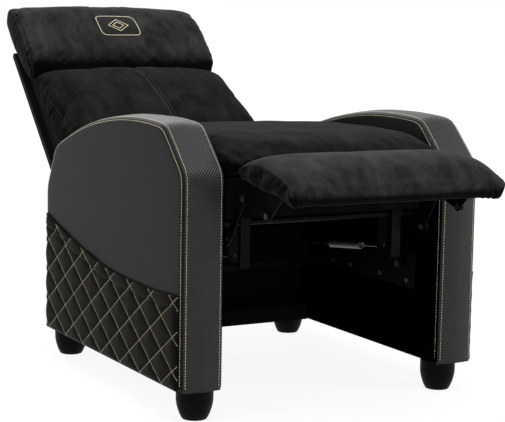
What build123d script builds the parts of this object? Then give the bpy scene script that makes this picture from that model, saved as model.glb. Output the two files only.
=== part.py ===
from build123d import *
import os
from math import atan2, cos, degrees, hypot, pi, radians, sin, sqrt

# Push-back gaming recliner in millimetres, standing fully reclined with its footrest raised.
# The front is -Y, Z is up from the floor, and X = 0 is the plane that the chair is symmetric about.
# Right and left are the sitter's, so the right arm is at -X and the left arm at +X.
# Side views are drawn as (y, z) with y counted from the middle of the arms.

# Overall places
chair_width = 780
arm_width = 94
arm_depth = 816
arm_top = 668
foot_height = 73
arm_centre_y = -180
play = 0.3
pin_play = 0.1
soft_gap = 0.3
parallel_limit = 1e-9

# Arms: timber frame, padded covers, wrapped band and quilted pocket
band_thickness = 10
frame_rim = 46
frame_board = 12
inner_cover = 6
side_cover = 12
cover_inset = 2
side_cover_radius = 8
inner_cover_radius = 3
front_knee_radius = 62
front_shoulder_radius = 66
rear_shoulder_radius = 52
rear_knee_radius = 85
arm_outline_shares = (
    (-1, 0),
    (-1, 0.824),
    (-0.748, 0.993),
    (0.05, 0.982),
    (0.846, 0.829),
    (1, 0.642),
    (1, 0),
)

pocket_gap = 7
pocket_wall = 4
pocket_edge_radius = 3
pocket_seam = 16
pocket_top_front = 296
pocket_top_dip = 288
pocket_top_middle = 303
pocket_top_rear = 381
pocket_dip_share = -0.5
pocket_middle_share = 0.1

# Feet and their bolts
foot_top_radius = 43
foot_base_radius = 28.5
foot_straight = 27
foot_base_fillet = 3
foot_swell_share = 0.2
foot_side_inset = 53
foot_front_inset = 54
foot_rear_inset = 23
foot_bolt_radius = 4
foot_bolt_in_foot = 30
foot_bolt_in_arm = 34

# Rear rail and rear panel between the arms
rear_panel_y = 245
rear_panel_thickness = 20
rear_panel_top = 330
rear_rail_depth = 40
rear_rail_height = 40

# Mechanism plates fixed to the arms
base_rail_thickness = 4
base_rail_front = -310
base_rail_rear = 130
base_rail_low = 245
base_rail_high = 330
base_bolt_radius = 3
base_bolt_head_radius = 6
base_bolt_head = 4
base_bolt_length = 34
base_bolt_rise = 17
base_bolt_shares = (0.07, 0.34, 0.66, 0.86)
cross_bar_size = 20
cross_bar_y = 100
spring_lug_width = 24
spring_lug_thickness = 4
spring_lug_rise = 58

# Swing arms that carry the seat
pivot_spacing = 130
swing_angle = 62.7
swing_width = 30
swing_thickness = 5
swing_gap = 5
plate_gap = 8
front_pivot_y = -250
rear_pivot_y = 60
swing_pivot_z = 300
pivot_radius = 5
pivot_head_radius = 8
pivot_head = 3
rivet_head = 2.5

# Seat box, plates and cushion
seat_plate_thickness = 4
seat_box_front = -345
seat_box_rear = 250
seat_box_low = 455
seat_box_height = 90
seat_rail_thickness = 30
plate_top = 500
plate_low = 395
plate_step_y = 150
plate_step_run = 16
plate_tail_low = 446
plate_front_y = -336
plate_rear_y = 236
plate_boss_radius = 20
plate_nose_radius = 16
plate_corner_radius = 6
plate_boss_share = 0.7
plate_nose_lean = 35
plate_screw_shares = (0.08, 0.36, 0.64, 0.92)
plate_screw_radius = 3
plate_screw_head_radius = 6
plate_screw_head = 3.5
plate_screw_length = 28
apron_thickness = 7
apron_side_gap = 3
dust_cover_thickness = 1.5
seat_spring_count = 5
seat_spring_margin = 58
seat_spring_waves = 11
seat_spring_half_width = 24
seat_spring_wire = 4
seat_spring_drop = 12
spring_lead = 8
wave_bend_share = 0.42
seat_tube_radius = 7.5
seat_tube_y = -330
seat_tube_z = 440

seat_cushion_side_gap = 11
seat_cushion_front = -425
seat_cushion_rear = 262
seat_cushion_crown = 109
seat_nose_height = 52
seat_nose_rise = 93
seat_nose_run = 95
seat_crown_run = 225
seat_rear_drop = 8
seat_corner_radii = (8, 22, 24, 40, 60, 22)
seat_cushion_edge_share = 0.6
seat_cushion_near_share = 0.9
cushion_edge_run = 12
cushion_near_run = 60
cushion_end_share = 0.12

# Strap and tension spring under each side of the seat
strap_side_gap = 48
strap_width = 25
strap_thickness = 3
strap_front = -345
strap_depth = 62
strap_low = 335
hook_hole_radius = 1.7
strap_hook_z = 352
coil_radius = 8
coil_wire = 2.5
coil_pitch = 6
coil_turns = 24
arcs_per_turn = 4
wire_points_apart = 8
coil_start_share = 0.24
hook_bend = 7
hook_clearance = 4
coil_lead = 12

# Footrest links
link_thickness = 3
link_gap = 3
link_width = 22
rivet_radius = 4
rivet_shoulder = 6.5
link_rivet_head_radius = 7
link_rivet_head = 2
lift_pivot = (-370, 410)
elbow_pivot = (-433, 508)

# Footrest board, pad and brackets, drawn from the underside's rear edge, u forwards and v up
footrest_origin = (-452, 552)
footrest_tilt = 7
bracket_reach = 86
bracket_drop = 62.5
bracket_flange = 26
bracket_flange_rear = 14
bracket_flange_front = 150
bracket_boss_radius = 12
footrest_side_gap = 12
footrest_rear = -12
footrest_front = 212
footrest_crown = 68
footrest_front_height = 40
footrest_rear_height = 36
footrest_nose_setback = 8
footrest_crown_rear = 50
footrest_crown_front = 140
footrest_corner_radii = (6, 6, 16, 40, 40, 14)
footrest_edge_share = 0.62
footrest_near_share = 0.9
board_side_gap = 20
board_rear = 6
board_front = 196
board_thickness = 15
footrest_screw_radius = 2.5
footrest_screw_head_radius = 5
footrest_screw_head = 2.5
footrest_screw_length = 12
footrest_screw_rear = 28
footrest_screw_front = 128

# Backrest, drawn from a point on the rear board, s up the board and n forwards out of it
back_origin = (685, 474)
back_slope = 45
hinge_pivot = (405, 370)
back_board_side_gap = 11
back_board_thickness = 18
back_board_low = -300
back_board_top = 425
back_board_radius = 7
hinge_gap = 2
post_width = 24
post_low = -255
post_top = 490
post_low_depth = 98
rear_line_low = (-175, 112)
rear_line_top = (515, 28)
rail_top_low = 400
rail_top_high = 480
rail_top_depth = 11
rail_middle_low = 50
rail_middle_high = 110
rail_middle_rear = 30
rail_middle_front = 74
rail_bottom_low = -250
rail_bottom_high = -190
rail_bottom_front = 90
back_spring_count = 4
back_spring_margin = 88
back_spring_waves = 5
back_spring_n = 56
back_spring_wire = 3.5
back_spring_half_width = 22
back_bracket_thickness = 4
back_bracket_high = -80
back_bracket_rear = 30
back_bracket_front = 100
back_bracket_waist = (-180, 105)
back_bracket_low = -245
back_bracket_boss = 20
back_bracket_radius = 6
back_bolt_radius = 3
back_bolt_head_radius = 6
back_bolt_head = 3
back_bolt_n = 60
back_bolt_low = -160
back_bolt_high = -105
hinge_radius = 5
hinge_head_radius = 9
hinge_head = 3

crease_s = 250
back_cushion_side_gap = 16
crease_gap = 0.3
back_cushion_face = ((249, 100), (235, 135), (182, 170), (100, 203), (0, 230), (-70, 250), (-175, 250))
back_corner_radii = (6, 4, 18, 30, 60, 60, 40, 30, 20)
back_edge_share = 0.66
back_near_share = 0.92
head_face = ((540, 75), (535, 105), (470, 140), (390, 158), (285, 158), (258, 130))
head_corner_radii = (4, 8, 12, 14, 50, 50, 18, 14)
head_edge_share = 0.72
head_near_share = 0.95


def side_plane(x):
    """Side view at x: local (y, z), with y counted from the middle of the arms."""
    return Plane(origin=(x, arm_centre_y, 0), x_dir=(0, 1, 0), z_dir=(1, 0, 0))


def rotated_plane(x, origin, angle, z_sign):
    """Side view at x whose local x axis leaves its origin at an angle above +Y."""
    along = (0, cos(radians(angle)), sin(radians(angle)))
    return Plane(origin=(x, arm_centre_y + origin[0], origin[1]), x_dir=along, z_dir=(z_sign, 0, 0))


def back_plane(x):
    return rotated_plane(x, back_origin, back_slope, 1)


def footrest_plane(x):
    return rotated_plane(x, footrest_origin, 180 + footrest_tilt, -1)


def to_back(point):
    """The backrest's (s, n) of a side-view point."""
    dy = point[0] - back_origin[0]
    dz = point[1] - back_origin[1]
    angle = radians(back_slope)
    return (dy * cos(angle) + dz * sin(angle), dz * cos(angle) - dy * sin(angle))


def from_footrest(u, v):
    """The side-view (y, z) of a footrest point."""
    angle = radians(180 + footrest_tilt)
    y = footrest_origin[0] + u * cos(angle) + v * sin(angle)
    z = footrest_origin[1] + u * sin(angle) - v * cos(angle)
    return (y, z)


def along_line(start, end, at):
    """The second coordinate of the line from start to end where the first is at."""
    return start[1] + (end[1] - start[1]) * (at - start[0]) / (end[0] - start[0])


def polar_point(start, length, angle):
    return (start[0] + length * cos(radians(angle)), start[1] + length * sin(radians(angle)))


def arm_face(inset):
    """The arm's side outline, drawn in by inset everywhere but at its foot."""
    half = arm_depth / 2
    rise = arm_top - foot_height
    points = [(y * half, foot_height + z * rise) for y, z in arm_outline_shares]
    points[0] = (points[0][0], points[0][1] - inset)
    points[-1] = (points[-1][0], points[-1][1] - inset)
    radii = (front_knee_radius, front_shoulder_radius, rear_shoulder_radius, rear_knee_radius)
    corners = (points[1], points[2], points[4], points[5])
    with BuildSketch() as face:
        with BuildLine():
            Polyline(points[0], points[1], points[2])
            ThreePointArc(points[2], points[3], points[4])
            Polyline(points[4], points[5], points[6])
            Line(points[6], points[0])
        make_face()
        for corner, radius in zip(corners, radii):
            fillet(face.vertices().sort_by_distance(Vector(*corner))[0], radius=radius)
        if inset:
            offset(amount=-inset, mode=Mode.REPLACE)
    return face.sketch


def pocket_region(face):
    """The part of a side outline that lies under the pocket's curved top edge."""
    half = arm_depth / 2
    with BuildSketch() as region:
        add(face)
        with BuildLine():
            Spline(
                (-half, pocket_top_front),
                (pocket_dip_share * half, pocket_top_dip),
                (pocket_middle_share * half, pocket_top_middle),
                (half, pocket_top_rear),
            )
            Polyline((half, pocket_top_rear), (half, 0), (-half, 0), (-half, pocket_top_front))
        make_face(mode=Mode.INTERSECT)
    return region.sketch


def stepped_pin(point, plane_of, steps):
    """A turned pin across the chair: each step is (x from, x to, radius)."""
    with BuildPart() as pin:
        for start, end, radius in steps:
            with BuildSketch(plane_of(start)):
                with Locations(point):
                    Circle(radius)
            extrude(amount=end - start)
    return pin.part


def flat_link(x, thickness, start, end, width, start_hole, end_hole):
    """A flat bar between two pivots, round at both ends."""
    length = hypot(end[0] - start[0], end[1] - start[1])
    angle = degrees(atan2(end[1] - start[1], end[0] - start[0]))
    with BuildPart() as link:
        with BuildSketch(rotated_plane(x, start, angle, 1)):
            with Locations((length / 2, 0)):
                SlotCenterToCenter(length, width)
            Circle(start_hole, mode=Mode.SUBTRACT)
            with Locations((length, 0)):
                Circle(end_hole, mode=Mode.SUBTRACT)
        extrude(amount=thickness)
    return link.part


def cross_block(width, low, high):
    """A block across the chair: low and high are its (y, z) corners."""
    with BuildPart() as block:
        with BuildSketch(side_plane(-width / 2)):
            with Locations(((low[0] + high[0]) / 2, (low[1] + high[1]) / 2)):
                Rectangle(high[0] - low[0], high[1] - low[1])
        extrude(amount=width)
    return block.part


def mirrored(part):
    """The same piece on the other side of the chair."""
    with BuildPart() as other:
        add(mirror(part, about=Plane.YZ, mode=Mode.PRIVATE))
    return other.part


def drawn_point(point, middle, base_of, share):
    """A section point moved towards its base line by share, and a little towards the middle."""
    along = middle + (point[0] - middle) * (1 - (1 - share) * cushion_end_share)
    return (along, base_of(along) + (point[1] - base_of(point[0])) * share)


def padded_loft(plane_of, half, end_shares, points, base_of, corner_radii):
    """A crowned cushion lofted across the chair, drawn in towards its base line at both ends."""
    edge_share, near_share = end_shares
    run_share = (edge_share + near_share) / 2
    middle = (points[0][0] + points[1][0]) / 2
    stations = (
        (-half, edge_share),
        (cushion_edge_run - half, run_share),
        (cushion_near_run - half, near_share),
        (0, 1),
        (half - cushion_near_run, near_share),
        (half - cushion_edge_run, run_share),
        (half, edge_share),
    )
    with BuildPart() as cushion:
        for x, share in stations:
            drawn = [drawn_point(point, middle, base_of, share) for point in points]
            with BuildSketch(plane_of(x)) as section:
                with BuildLine():
                    Polyline(*drawn, close=True)
                make_face()
                for corner, radius in zip(drawn, corner_radii):
                    nearest = section.vertices().sort_by_distance(Vector(*corner))[0]
                    fillet(nearest, radius=radius * share)
        loft()
    return cushion.part


def save(builder, name):
    builder.part.label = name
    export_step(builder.part, f"parts/{name}.step")


def biarc(start, start_tangent, end, end_tangent):
    """Two tangent arcs from start to end, as edges."""
    chord = end - start
    total = start_tangent + end_tangent
    square = 2 * (1 - start_tangent.dot(end_tangent))
    middle = chord.dot(total)
    if square > parallel_limit:
        reach = (sqrt(middle * middle + square * chord.dot(chord)) - middle) / square
    else:
        reach = chord.dot(chord) / (2 * middle)
    near = start + start_tangent * reach
    far = end - end_tangent * reach
    joint = (near + far) / 2
    first = Edge.make_tangent_arc(start, start_tangent, joint)
    second = Edge.make_tangent_arc(joint, far - near, end)
    return [first, second]


os.makedirs("parts", exist_ok=True)

outer_x = chair_width / 2
inner_x = outer_x - arm_width
cover_x = outer_x + side_cover
arm_face_x = inner_x - cover_inset
base_inner = arm_face_x - base_rail_thickness
swing_outer = base_inner - swing_gap
swing_inner = swing_outer - swing_thickness
plate_outer = swing_inner - plate_gap
seat_plate_inner = plate_outer - seat_plate_thickness
seat_cushion_half = arm_face_x - seat_cushion_side_gap
strap_inner = seat_plate_inner - strap_side_gap - strap_width
coil_centre_x = strap_inner + strap_width / 2
footrest_half = arm_face_x - footrest_side_gap
post_outer = seat_plate_inner - hinge_gap - back_bracket_thickness
back_board_half = arm_face_x - back_board_side_gap
back_cushion_half = arm_face_x - back_cushion_side_gap
outline = arm_face(0)
band_core = arm_face(band_thickness)
frame_core = arm_face(band_thickness + frame_rim)
cover_outline = arm_face(cover_inset)

# Arm frames: a plywood board with a deep timber rim, open towards the side cover
arm_frame_inner = arm_face_x + inner_cover
with BuildPart() as arm_frame_left:
    with BuildSketch(side_plane(arm_frame_inner)):
        add(band_core)
    extrude(amount=outer_x - arm_frame_inner)
    with BuildSketch(side_plane(arm_frame_inner + frame_board)) as hollow:
        add(frame_core)
        with Locations((0, foot_height - frame_rim / 2)):
            Rectangle(arm_depth, frame_rim * 3, mode=Mode.SUBTRACT)
    extrude(amount=arm_width, mode=Mode.SUBTRACT)
    foot_x = outer_x - foot_side_inset
    foot_places = (foot_front_inset - arm_depth / 2, arm_depth / 2 - foot_rear_inset)
    for foot_y in foot_places:
        with BuildSketch(Plane.XY.offset(foot_height)):
            with Locations((foot_x, arm_centre_y + foot_y)):
                Circle(foot_bolt_radius)
        extrude(amount=foot_bolt_in_arm, mode=Mode.SUBTRACT)
    bolt_z = base_rail_low + base_bolt_rise
    bolt_span = base_rail_rear - base_rail_front
    bolt_places = [base_rail_front + bolt_span * share for share in base_bolt_shares]
    for bolt_y in bolt_places:
        with BuildSketch(side_plane(arm_frame_inner)):
            with Locations((bolt_y, bolt_z)):
                Circle(base_bolt_radius)
        extrude(amount=base_bolt_length - base_rail_thickness - inner_cover, mode=Mode.SUBTRACT)
with BuildPart() as arm_frame_right:
    add(mirrored(arm_frame_left.part))
save(arm_frame_left, "arm_frame_left")
save(arm_frame_right, "arm_frame_right")

# Arm bands: the wrapped strip over the front, top and rear of each arm
with BuildPart() as arm_band_left:
    with BuildSketch(side_plane(arm_frame_inner)):
        add(outline)
        add(band_core, mode=Mode.SUBTRACT)
    extrude(amount=outer_x - arm_frame_inner)
with BuildPart() as arm_band_right:
    add(mirrored(arm_band_left.part))
save(arm_band_left, "arm_band_left")
save(arm_band_right, "arm_band_right")

# Arm side covers: padded panels on the outside of each arm
with BuildPart() as arm_side_left:
    with BuildSketch(side_plane(outer_x)):
        add(cover_outline)
    extrude(amount=side_cover)
    outside = arm_side_left.faces().sort_by(Axis.X)[-1]
    fillet(outside.edges(), radius=side_cover_radius)
with BuildPart() as arm_side_right:
    add(mirrored(arm_side_left.part))
save(arm_side_left, "arm_side_left")
save(arm_side_right, "arm_side_right")

# Arm inner covers: thin padded panels facing the seat
with BuildPart() as arm_inner_left:
    with BuildSketch(side_plane(arm_face_x)):
        add(cover_outline)
    extrude(amount=inner_cover)
    inside = arm_inner_left.faces().sort_by(Axis.X)[0]
    fillet(inside.edges(), radius=inner_cover_radius)
    for bolt_y in bolt_places:
        with BuildSketch(side_plane(arm_face_x)):
            with Locations((bolt_y, bolt_z)):
                Circle(base_bolt_radius)
        extrude(amount=inner_cover, mode=Mode.SUBTRACT)
with BuildPart() as arm_inner_right:
    add(mirrored(arm_inner_left.part))
save(arm_inner_left, "arm_inner_left")
save(arm_inner_right, "arm_inner_right")

# Pockets: quilted panels sewn to the side covers at the front, rear and foot, open at the top
pocket_face_outline = arm_face(cover_inset + side_cover_radius)
pocket_outline = pocket_region(pocket_face_outline)
cavity_outline = arm_face(cover_inset + side_cover_radius + pocket_seam)
with BuildPart() as side_pocket_left:
    with BuildSketch(side_plane(cover_x)):
        add(pocket_outline)
    extrude(amount=pocket_gap + pocket_wall)
    with BuildSketch(side_plane(cover_x)) as cavity:
        add(cavity_outline)
        with Locations((0, foot_height)):
            Rectangle(arm_depth, 2 * (pocket_seam + side_cover_radius), mode=Mode.SUBTRACT)
    extrude(amount=pocket_gap, mode=Mode.SUBTRACT)
    pocket_face = side_pocket_left.faces().sort_by(Axis.X)[-1]
    fillet(pocket_face.edges(), radius=pocket_edge_radius)
with BuildPart() as side_pocket_right:
    add(mirrored(side_pocket_left.part))
save(side_pocket_left, "side_pocket_left")
save(side_pocket_right, "side_pocket_right")

# Feet: turned feet under the ends of each arm, with a blind hole for the bolt
foot_names = ("front_left", "rear_left", "front_right", "rear_right")
foot_centres = [(side * foot_x, arm_centre_y + y) for side in (1, -1) for y in foot_places]
for foot_name, (centre_x, centre_y) in zip(foot_names, foot_centres):
    with BuildPart() as foot:
        with BuildSketch(Plane(origin=(centre_x, centre_y, 0), x_dir=(1, 0, 0), z_dir=(0, -1, 0))):
            with BuildLine():
                swell = (foot_top_radius + foot_base_radius) / 2
                low = foot_height - foot_straight
                Line((0, 0), (foot_base_radius, 0))
                ThreePointArc(
                    (foot_base_radius, 0),
                    (swell + (foot_top_radius - foot_base_radius) * foot_swell_share, low / 2),
                    (foot_top_radius, low),
                )
                Polyline((foot_top_radius, low), (foot_top_radius, foot_height), (0, foot_height), (0, 0))
            make_face()
        revolve(axis=Axis((centre_x, centre_y, 0), (0, 0, 1)))
        fillet(foot.edges().sort_by(Axis.Z)[0], radius=foot_base_fillet)
        with BuildSketch(Plane.XY.offset(foot_height)):
            with Locations((centre_x, centre_y)):
                Circle(foot_bolt_radius)
        extrude(amount=-foot_bolt_in_foot, mode=Mode.SUBTRACT)
    save(foot, f"foot_{foot_name}")

with BuildPart() as foot_bolts:
    for centre in foot_centres:
        with BuildSketch(Plane.XY.offset(foot_height - foot_bolt_in_foot)):
            with Locations(centre):
                Circle(foot_bolt_radius)
        extrude(amount=foot_bolt_in_foot + foot_bolt_in_arm)
save(foot_bolts, "foot_bolts")

# Rear rail and rear panel: they tie the arms together behind the seat box
panel_rear_y = rear_panel_y + rear_panel_thickness
with BuildPart() as rear_panel:
    add(cross_block(2 * arm_face_x, (rear_panel_y, foot_height), (panel_rear_y, rear_panel_top)))
save(rear_panel, "rear_panel")
with BuildPart() as rear_rail:
    rail_low = (rear_panel_y - rear_rail_depth, foot_height)
    add(cross_block(2 * arm_face_x, rail_low, (rear_panel_y, foot_height + rear_rail_height)))
save(rear_rail, "rear_rail")

# Base rails: steel plates bolted to the inside of each arm, which carry the swing arms
front_base = (front_pivot_y, swing_pivot_z)
rear_base = (rear_pivot_y, swing_pivot_z)
with BuildPart() as base_rail_left:
    with BuildSketch(side_plane(base_inner)):
        with Locations(((base_rail_front + base_rail_rear) / 2, (base_rail_low + base_rail_high) / 2)):
            Rectangle(bolt_span, base_rail_high - base_rail_low)
        with Locations(front_base, rear_base):
            Circle(pivot_radius, mode=Mode.SUBTRACT)
        with Locations(*[(bolt_y, bolt_z) for bolt_y in bolt_places]):
            Circle(base_bolt_radius, mode=Mode.SUBTRACT)
    extrude(amount=base_rail_thickness)
with BuildPart() as base_rail_right:
    add(mirrored(base_rail_left.part))
save(base_rail_left, "base_rail_left")
save(base_rail_right, "base_rail_right")

with BuildPart() as base_bolts:
    for bolt_y in bolt_places:
        shank = (base_inner, base_inner + base_bolt_length, base_bolt_radius)
        head = (base_inner - base_bolt_head, base_inner, base_bolt_head_radius)
        add(stepped_pin((bolt_y, bolt_z), side_plane, (shank, head)))
    mirror(about=Plane.YZ)
save(base_bolts, "base_bolts")

# Cross bar: a square tube between the base rails, with a lug on it for each spring
bar_low = (cross_bar_y - cross_bar_size / 2, base_rail_low)
bar_high = (cross_bar_y + cross_bar_size / 2, base_rail_low + cross_bar_size)
lug_front = bar_low[0]
lug_hole_z = bar_high[1] + spring_lug_rise - spring_lug_width / 2
with BuildPart() as base_cross_bar:
    add(cross_block(2 * base_inner, bar_low, bar_high))
    for side in (1, -1):
        with BuildSketch(Plane.XZ.offset(-(arm_centre_y + lug_front))):
            with Locations((side * coil_centre_x, bar_high[1] + spring_lug_rise / 2)):
                Rectangle(spring_lug_width, spring_lug_rise)
            with Locations((side * coil_centre_x, lug_hole_z)):
                Circle(hook_hole_radius, mode=Mode.SUBTRACT)
        extrude(amount=-spring_lug_thickness)
save(base_cross_bar, "base_cross_bar")

# Base pivot pins: shouldered pins pressed into the base rails
with BuildPart() as base_pivot_pins:
    for place in (front_base, rear_base):
        shank = (swing_inner - play, arm_face_x, pivot_radius)
        shoulder = (swing_outer + play, base_inner, pivot_head_radius)
        head = (swing_inner - play - pivot_head, swing_inner - play, pivot_head_radius)
        add(stepped_pin(place, side_plane, (shank, shoulder, head)))
    mirror(about=Plane.YZ)
save(base_pivot_pins, "base_pivot_pins")

# Swing arms and their seat rivets: four equal arms that let the seat swing back and down
front_seat = polar_point(front_base, pivot_spacing, swing_angle)
rear_seat = polar_point(rear_base, pivot_spacing, swing_angle)
running_pivot = pivot_radius + pin_play
for row, base_place, seat_place in (("front", front_base, front_seat), ("rear", rear_base, rear_seat)):
    with BuildPart() as swing_arms:
        arm_sizes = (base_place, seat_place, swing_width, running_pivot, pivot_radius)
        add(flat_link(swing_inner, swing_thickness, *arm_sizes))
        mirror(about=Plane.YZ)
    save(swing_arms, f"swing_arms_{row}")
    with BuildPart() as swing_rivets:
        shank = (seat_plate_inner - play, swing_outer, pivot_radius)
        shoulder = (plate_outer + play, swing_inner, pivot_head_radius)
        inner_head = (seat_plate_inner - play - rivet_head, seat_plate_inner - play, pivot_head_radius)
        outer_head = (swing_outer, swing_outer + rivet_head, pivot_head_radius)
        add(stepped_pin(seat_place, side_plane, (shank, shoulder, inner_head, outer_head)))
        mirror(about=Plane.YZ)
    save(swing_rivets, f"swing_rivets_{row}")

# Seat box: four timber rails
box_high = seat_box_low + seat_box_height
front_inner = seat_box_front + seat_rail_thickness
rear_inner = seat_box_rear - seat_rail_thickness
rail_span = 2 * (seat_plate_inner - seat_rail_thickness)
screw_z = (seat_box_low + plate_top) / 2
screw_places = [plate_front_y + (plate_rear_y - plate_front_y) * share for share in plate_screw_shares]
with BuildPart() as seat_side_rails:
    with BuildSketch(side_plane(seat_plate_inner - seat_rail_thickness)):
        with Locations(((seat_box_front + seat_box_rear) / 2, (seat_box_low + box_high) / 2)):
            Rectangle(seat_box_rear - seat_box_front, seat_box_height)
    extrude(amount=seat_rail_thickness)
    for place in screw_places:
        with BuildSketch(side_plane(seat_plate_inner)):
            with Locations((place, screw_z)):
                Circle(plate_screw_radius)
        extrude(amount=seat_plate_thickness - plate_screw_length, mode=Mode.SUBTRACT)
    mirror(about=Plane.YZ)
save(seat_side_rails, "seat_side_rails")
with BuildPart() as seat_front_rail:
    add(cross_block(rail_span, (seat_box_front, seat_box_low), (front_inner, box_high)))
save(seat_front_rail, "seat_front_rail")
with BuildPart() as seat_rear_rail:
    add(cross_block(rail_span, (rear_inner, seat_box_low), (seat_box_rear, box_high)))
save(seat_rear_rail, "seat_rear_rail")

with BuildPart() as seat_plate_screws:
    for place in screw_places:
        shank = (plate_outer - plate_screw_length, plate_outer, plate_screw_radius)
        head = (plate_outer, plate_outer + plate_screw_head, plate_screw_head_radius)
        add(stepped_pin((place, screw_z), side_plane, (shank, head)))
    mirror(about=Plane.YZ)
save(seat_plate_screws, "seat_plate_screws")

# Seat plates: steel side plates from the footrest links to the backrest hinge
with BuildPart() as seat_plate_left:
    with BuildSketch(side_plane(seat_plate_inner)) as plate_face:
        with BuildLine():
            Polyline(
                (plate_front_y, plate_low),
                (plate_step_y, plate_low),
                (plate_step_y + plate_step_run, plate_tail_low),
                (plate_rear_y + plate_step_run, plate_tail_low),
                (hinge_pivot[0] - plate_boss_radius, hinge_pivot[1] - plate_boss_radius * plate_boss_share),
                (hinge_pivot[0] + plate_boss_radius * plate_boss_share, hinge_pivot[1] + plate_boss_radius),
                (plate_rear_y + 2 * plate_boss_radius, plate_tail_low + plate_boss_radius),
                (plate_rear_y, plate_top),
                (plate_front_y, plate_top),
                close=True,
            )
        make_face()
        fillet(plate_face.vertices(), radius=plate_corner_radius)
        with Locations(hinge_pivot):
            Circle(plate_boss_radius)
        nose_angle = degrees(atan2(plate_low - lift_pivot[1], plate_front_y - lift_pivot[0]))
        nose_run = hypot(plate_front_y - lift_pivot[0], 2 * plate_nose_radius)
        with Locations(Location((*lift_pivot, 0), (0, 0, plate_nose_lean))):
            with Locations((nose_run / 2, 0)):
                SlotCenterToCenter(nose_run, 2 * plate_nose_radius)
        for place in (front_seat, rear_seat):
            with Locations(place):
                Circle(plate_nose_radius)
        with Locations(front_seat, rear_seat):
            Circle(running_pivot, mode=Mode.SUBTRACT)
        with Locations(hinge_pivot):
            Circle(hinge_radius, mode=Mode.SUBTRACT)
        with Locations(lift_pivot):
            Circle(rivet_radius, mode=Mode.SUBTRACT)
        with Locations(*[(place, screw_z) for place in screw_places]):
            Circle(plate_screw_radius, mode=Mode.SUBTRACT)
    extrude(amount=seat_plate_thickness)
with BuildPart() as seat_plate_right:
    add(mirrored(seat_plate_left.part))
save(seat_plate_left, "seat_plate_left")
save(seat_plate_right, "seat_plate_right")

with BuildPart() as seat_cross_tube:
    with BuildSketch(side_plane(-seat_plate_inner)):
        with Locations((seat_tube_y, seat_tube_z)):
            Circle(seat_tube_radius)
    extrude(amount=2 * seat_plate_inner)
save(seat_cross_tube, "seat_cross_tube")

# Apron and dust cover: fabric over the front rail and under the box
dust_low_z = seat_box_low - dust_cover_thickness
with BuildPart() as seat_apron:
    apron_low = (seat_box_front - apron_thickness, seat_box_low - apron_side_gap)
    add(cross_block(2 * (seat_plate_inner - apron_side_gap), apron_low, (seat_box_front, box_high)))
save(seat_apron, "seat_apron")
with BuildPart() as seat_dust_cover:
    dust_low = (seat_box_front, dust_low_z)
    dust_span = 2 * (seat_plate_inner - apron_side_gap)
    add(cross_block(dust_span, dust_low, (seat_box_rear, seat_box_low)))
save(seat_dust_cover, "seat_dust_cover")


def wave_spring(plane, start, end, half_width, waves, wire):
    """A flat zigzag spring from start to end along the plane's y axis."""
    first = start + spring_lead
    last = end - spring_lead
    step = (last - first) / (2 * waves)
    points = [(0, start), (0, first)]
    for index in range(2 * waves - 1):
        points.append(((-1) ** index * half_width, first + (index + 1) * step))
    points.extend([(0, last), (0, end)])
    with BuildPart() as spring:
        with BuildLine(plane) as wave:
            FilletPolyline(*points, radius=step * wave_bend_share)
        path = wave.wire()
        with BuildSketch(Plane(origin=plane.from_local_coords(Vector(0, start)), z_dir=plane.y_dir)):
            Circle(wire / 2)
        sweep(path=path)
    return spring.part


# Seat springs: flat zigzag springs from the front rail to the rear rail
with BuildPart() as seat_springs:
    spring_z = box_high - seat_spring_drop
    seat_spring_pitch = (rail_span - 2 * seat_spring_margin) / (seat_spring_count - 1)
    for index in range(seat_spring_count):
        spring_x = (index - (seat_spring_count - 1) / 2) * seat_spring_pitch
        spring_plane = Plane(origin=(spring_x, arm_centre_y, spring_z), x_dir=(1, 0, 0), z_dir=(0, 0, 1))
        zigzag = (seat_spring_half_width, seat_spring_waves, seat_spring_wire)
        add(wave_spring(spring_plane, front_inner, rear_inner, *zigzag))
save(seat_springs, "seat_springs")

# Seat cushion: crowned, with a rounded nose over the front rail
cushion_low = box_high + soft_gap
nose_y = seat_cushion_front
seat_points = (
    (seat_cushion_rear, cushion_low),
    (nose_y, cushion_low),
    (nose_y, cushion_low + seat_nose_height),
    (nose_y + seat_nose_run, cushion_low + seat_nose_rise),
    (nose_y + seat_crown_run, cushion_low + seat_cushion_crown),
    (seat_cushion_rear, cushion_low + seat_cushion_crown - seat_rear_drop),
)
with BuildPart() as seat_cushion:
    seat_shares = (seat_cushion_edge_share, seat_cushion_near_share)
    add(padded_loft(
        side_plane, seat_cushion_half, seat_shares, seat_points, lambda y: cushion_low, seat_corner_radii
    ))
save(seat_cushion, "seat_cushion")

# Spring straps: bent steel straps under the seat box that the front hooks pull on
strap_rear = strap_front + strap_depth
with BuildPart() as spring_straps:
    with BuildSketch(side_plane(strap_inner)):
        with Locations(((strap_front + strap_rear) / 2, (strap_low + dust_low_z) / 2)):
            Rectangle(strap_depth, dust_low_z - strap_low)
        with Locations(((strap_front + strap_rear) / 2, (strap_low + dust_low_z) / 2 + strap_thickness)):
            Rectangle(strap_depth - 2 * strap_thickness, dust_low_z - strap_low, mode=Mode.SUBTRACT)
    extrude(amount=strap_width)
    with BuildSketch(Plane.XZ.offset(-(arm_centre_y + strap_rear))):
        with Locations((coil_centre_x, strap_hook_z)):
            Circle(hook_hole_radius)
    extrude(amount=strap_thickness, mode=Mode.SUBTRACT)
    mirror(about=Plane.YZ)
save(spring_straps, "spring_straps")

# Tension springs: one wire each, hooked through a strap and through a lug of the cross bar
hook_start = Vector(coil_centre_x, arm_centre_y + strap_rear - strap_thickness / 2, strap_hook_z)
hook_end = Vector(coil_centre_x, arm_centre_y + lug_front + spring_lug_thickness / 2, lug_hole_z)
coil_way = (hook_end - hook_start).normalized()
coil_side = Vector(1, 0, 0)
coil_up = coil_side.cross(coil_way)
coil_origin = hook_start + coil_way * (hook_end - hook_start).length * coil_start_share


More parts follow.
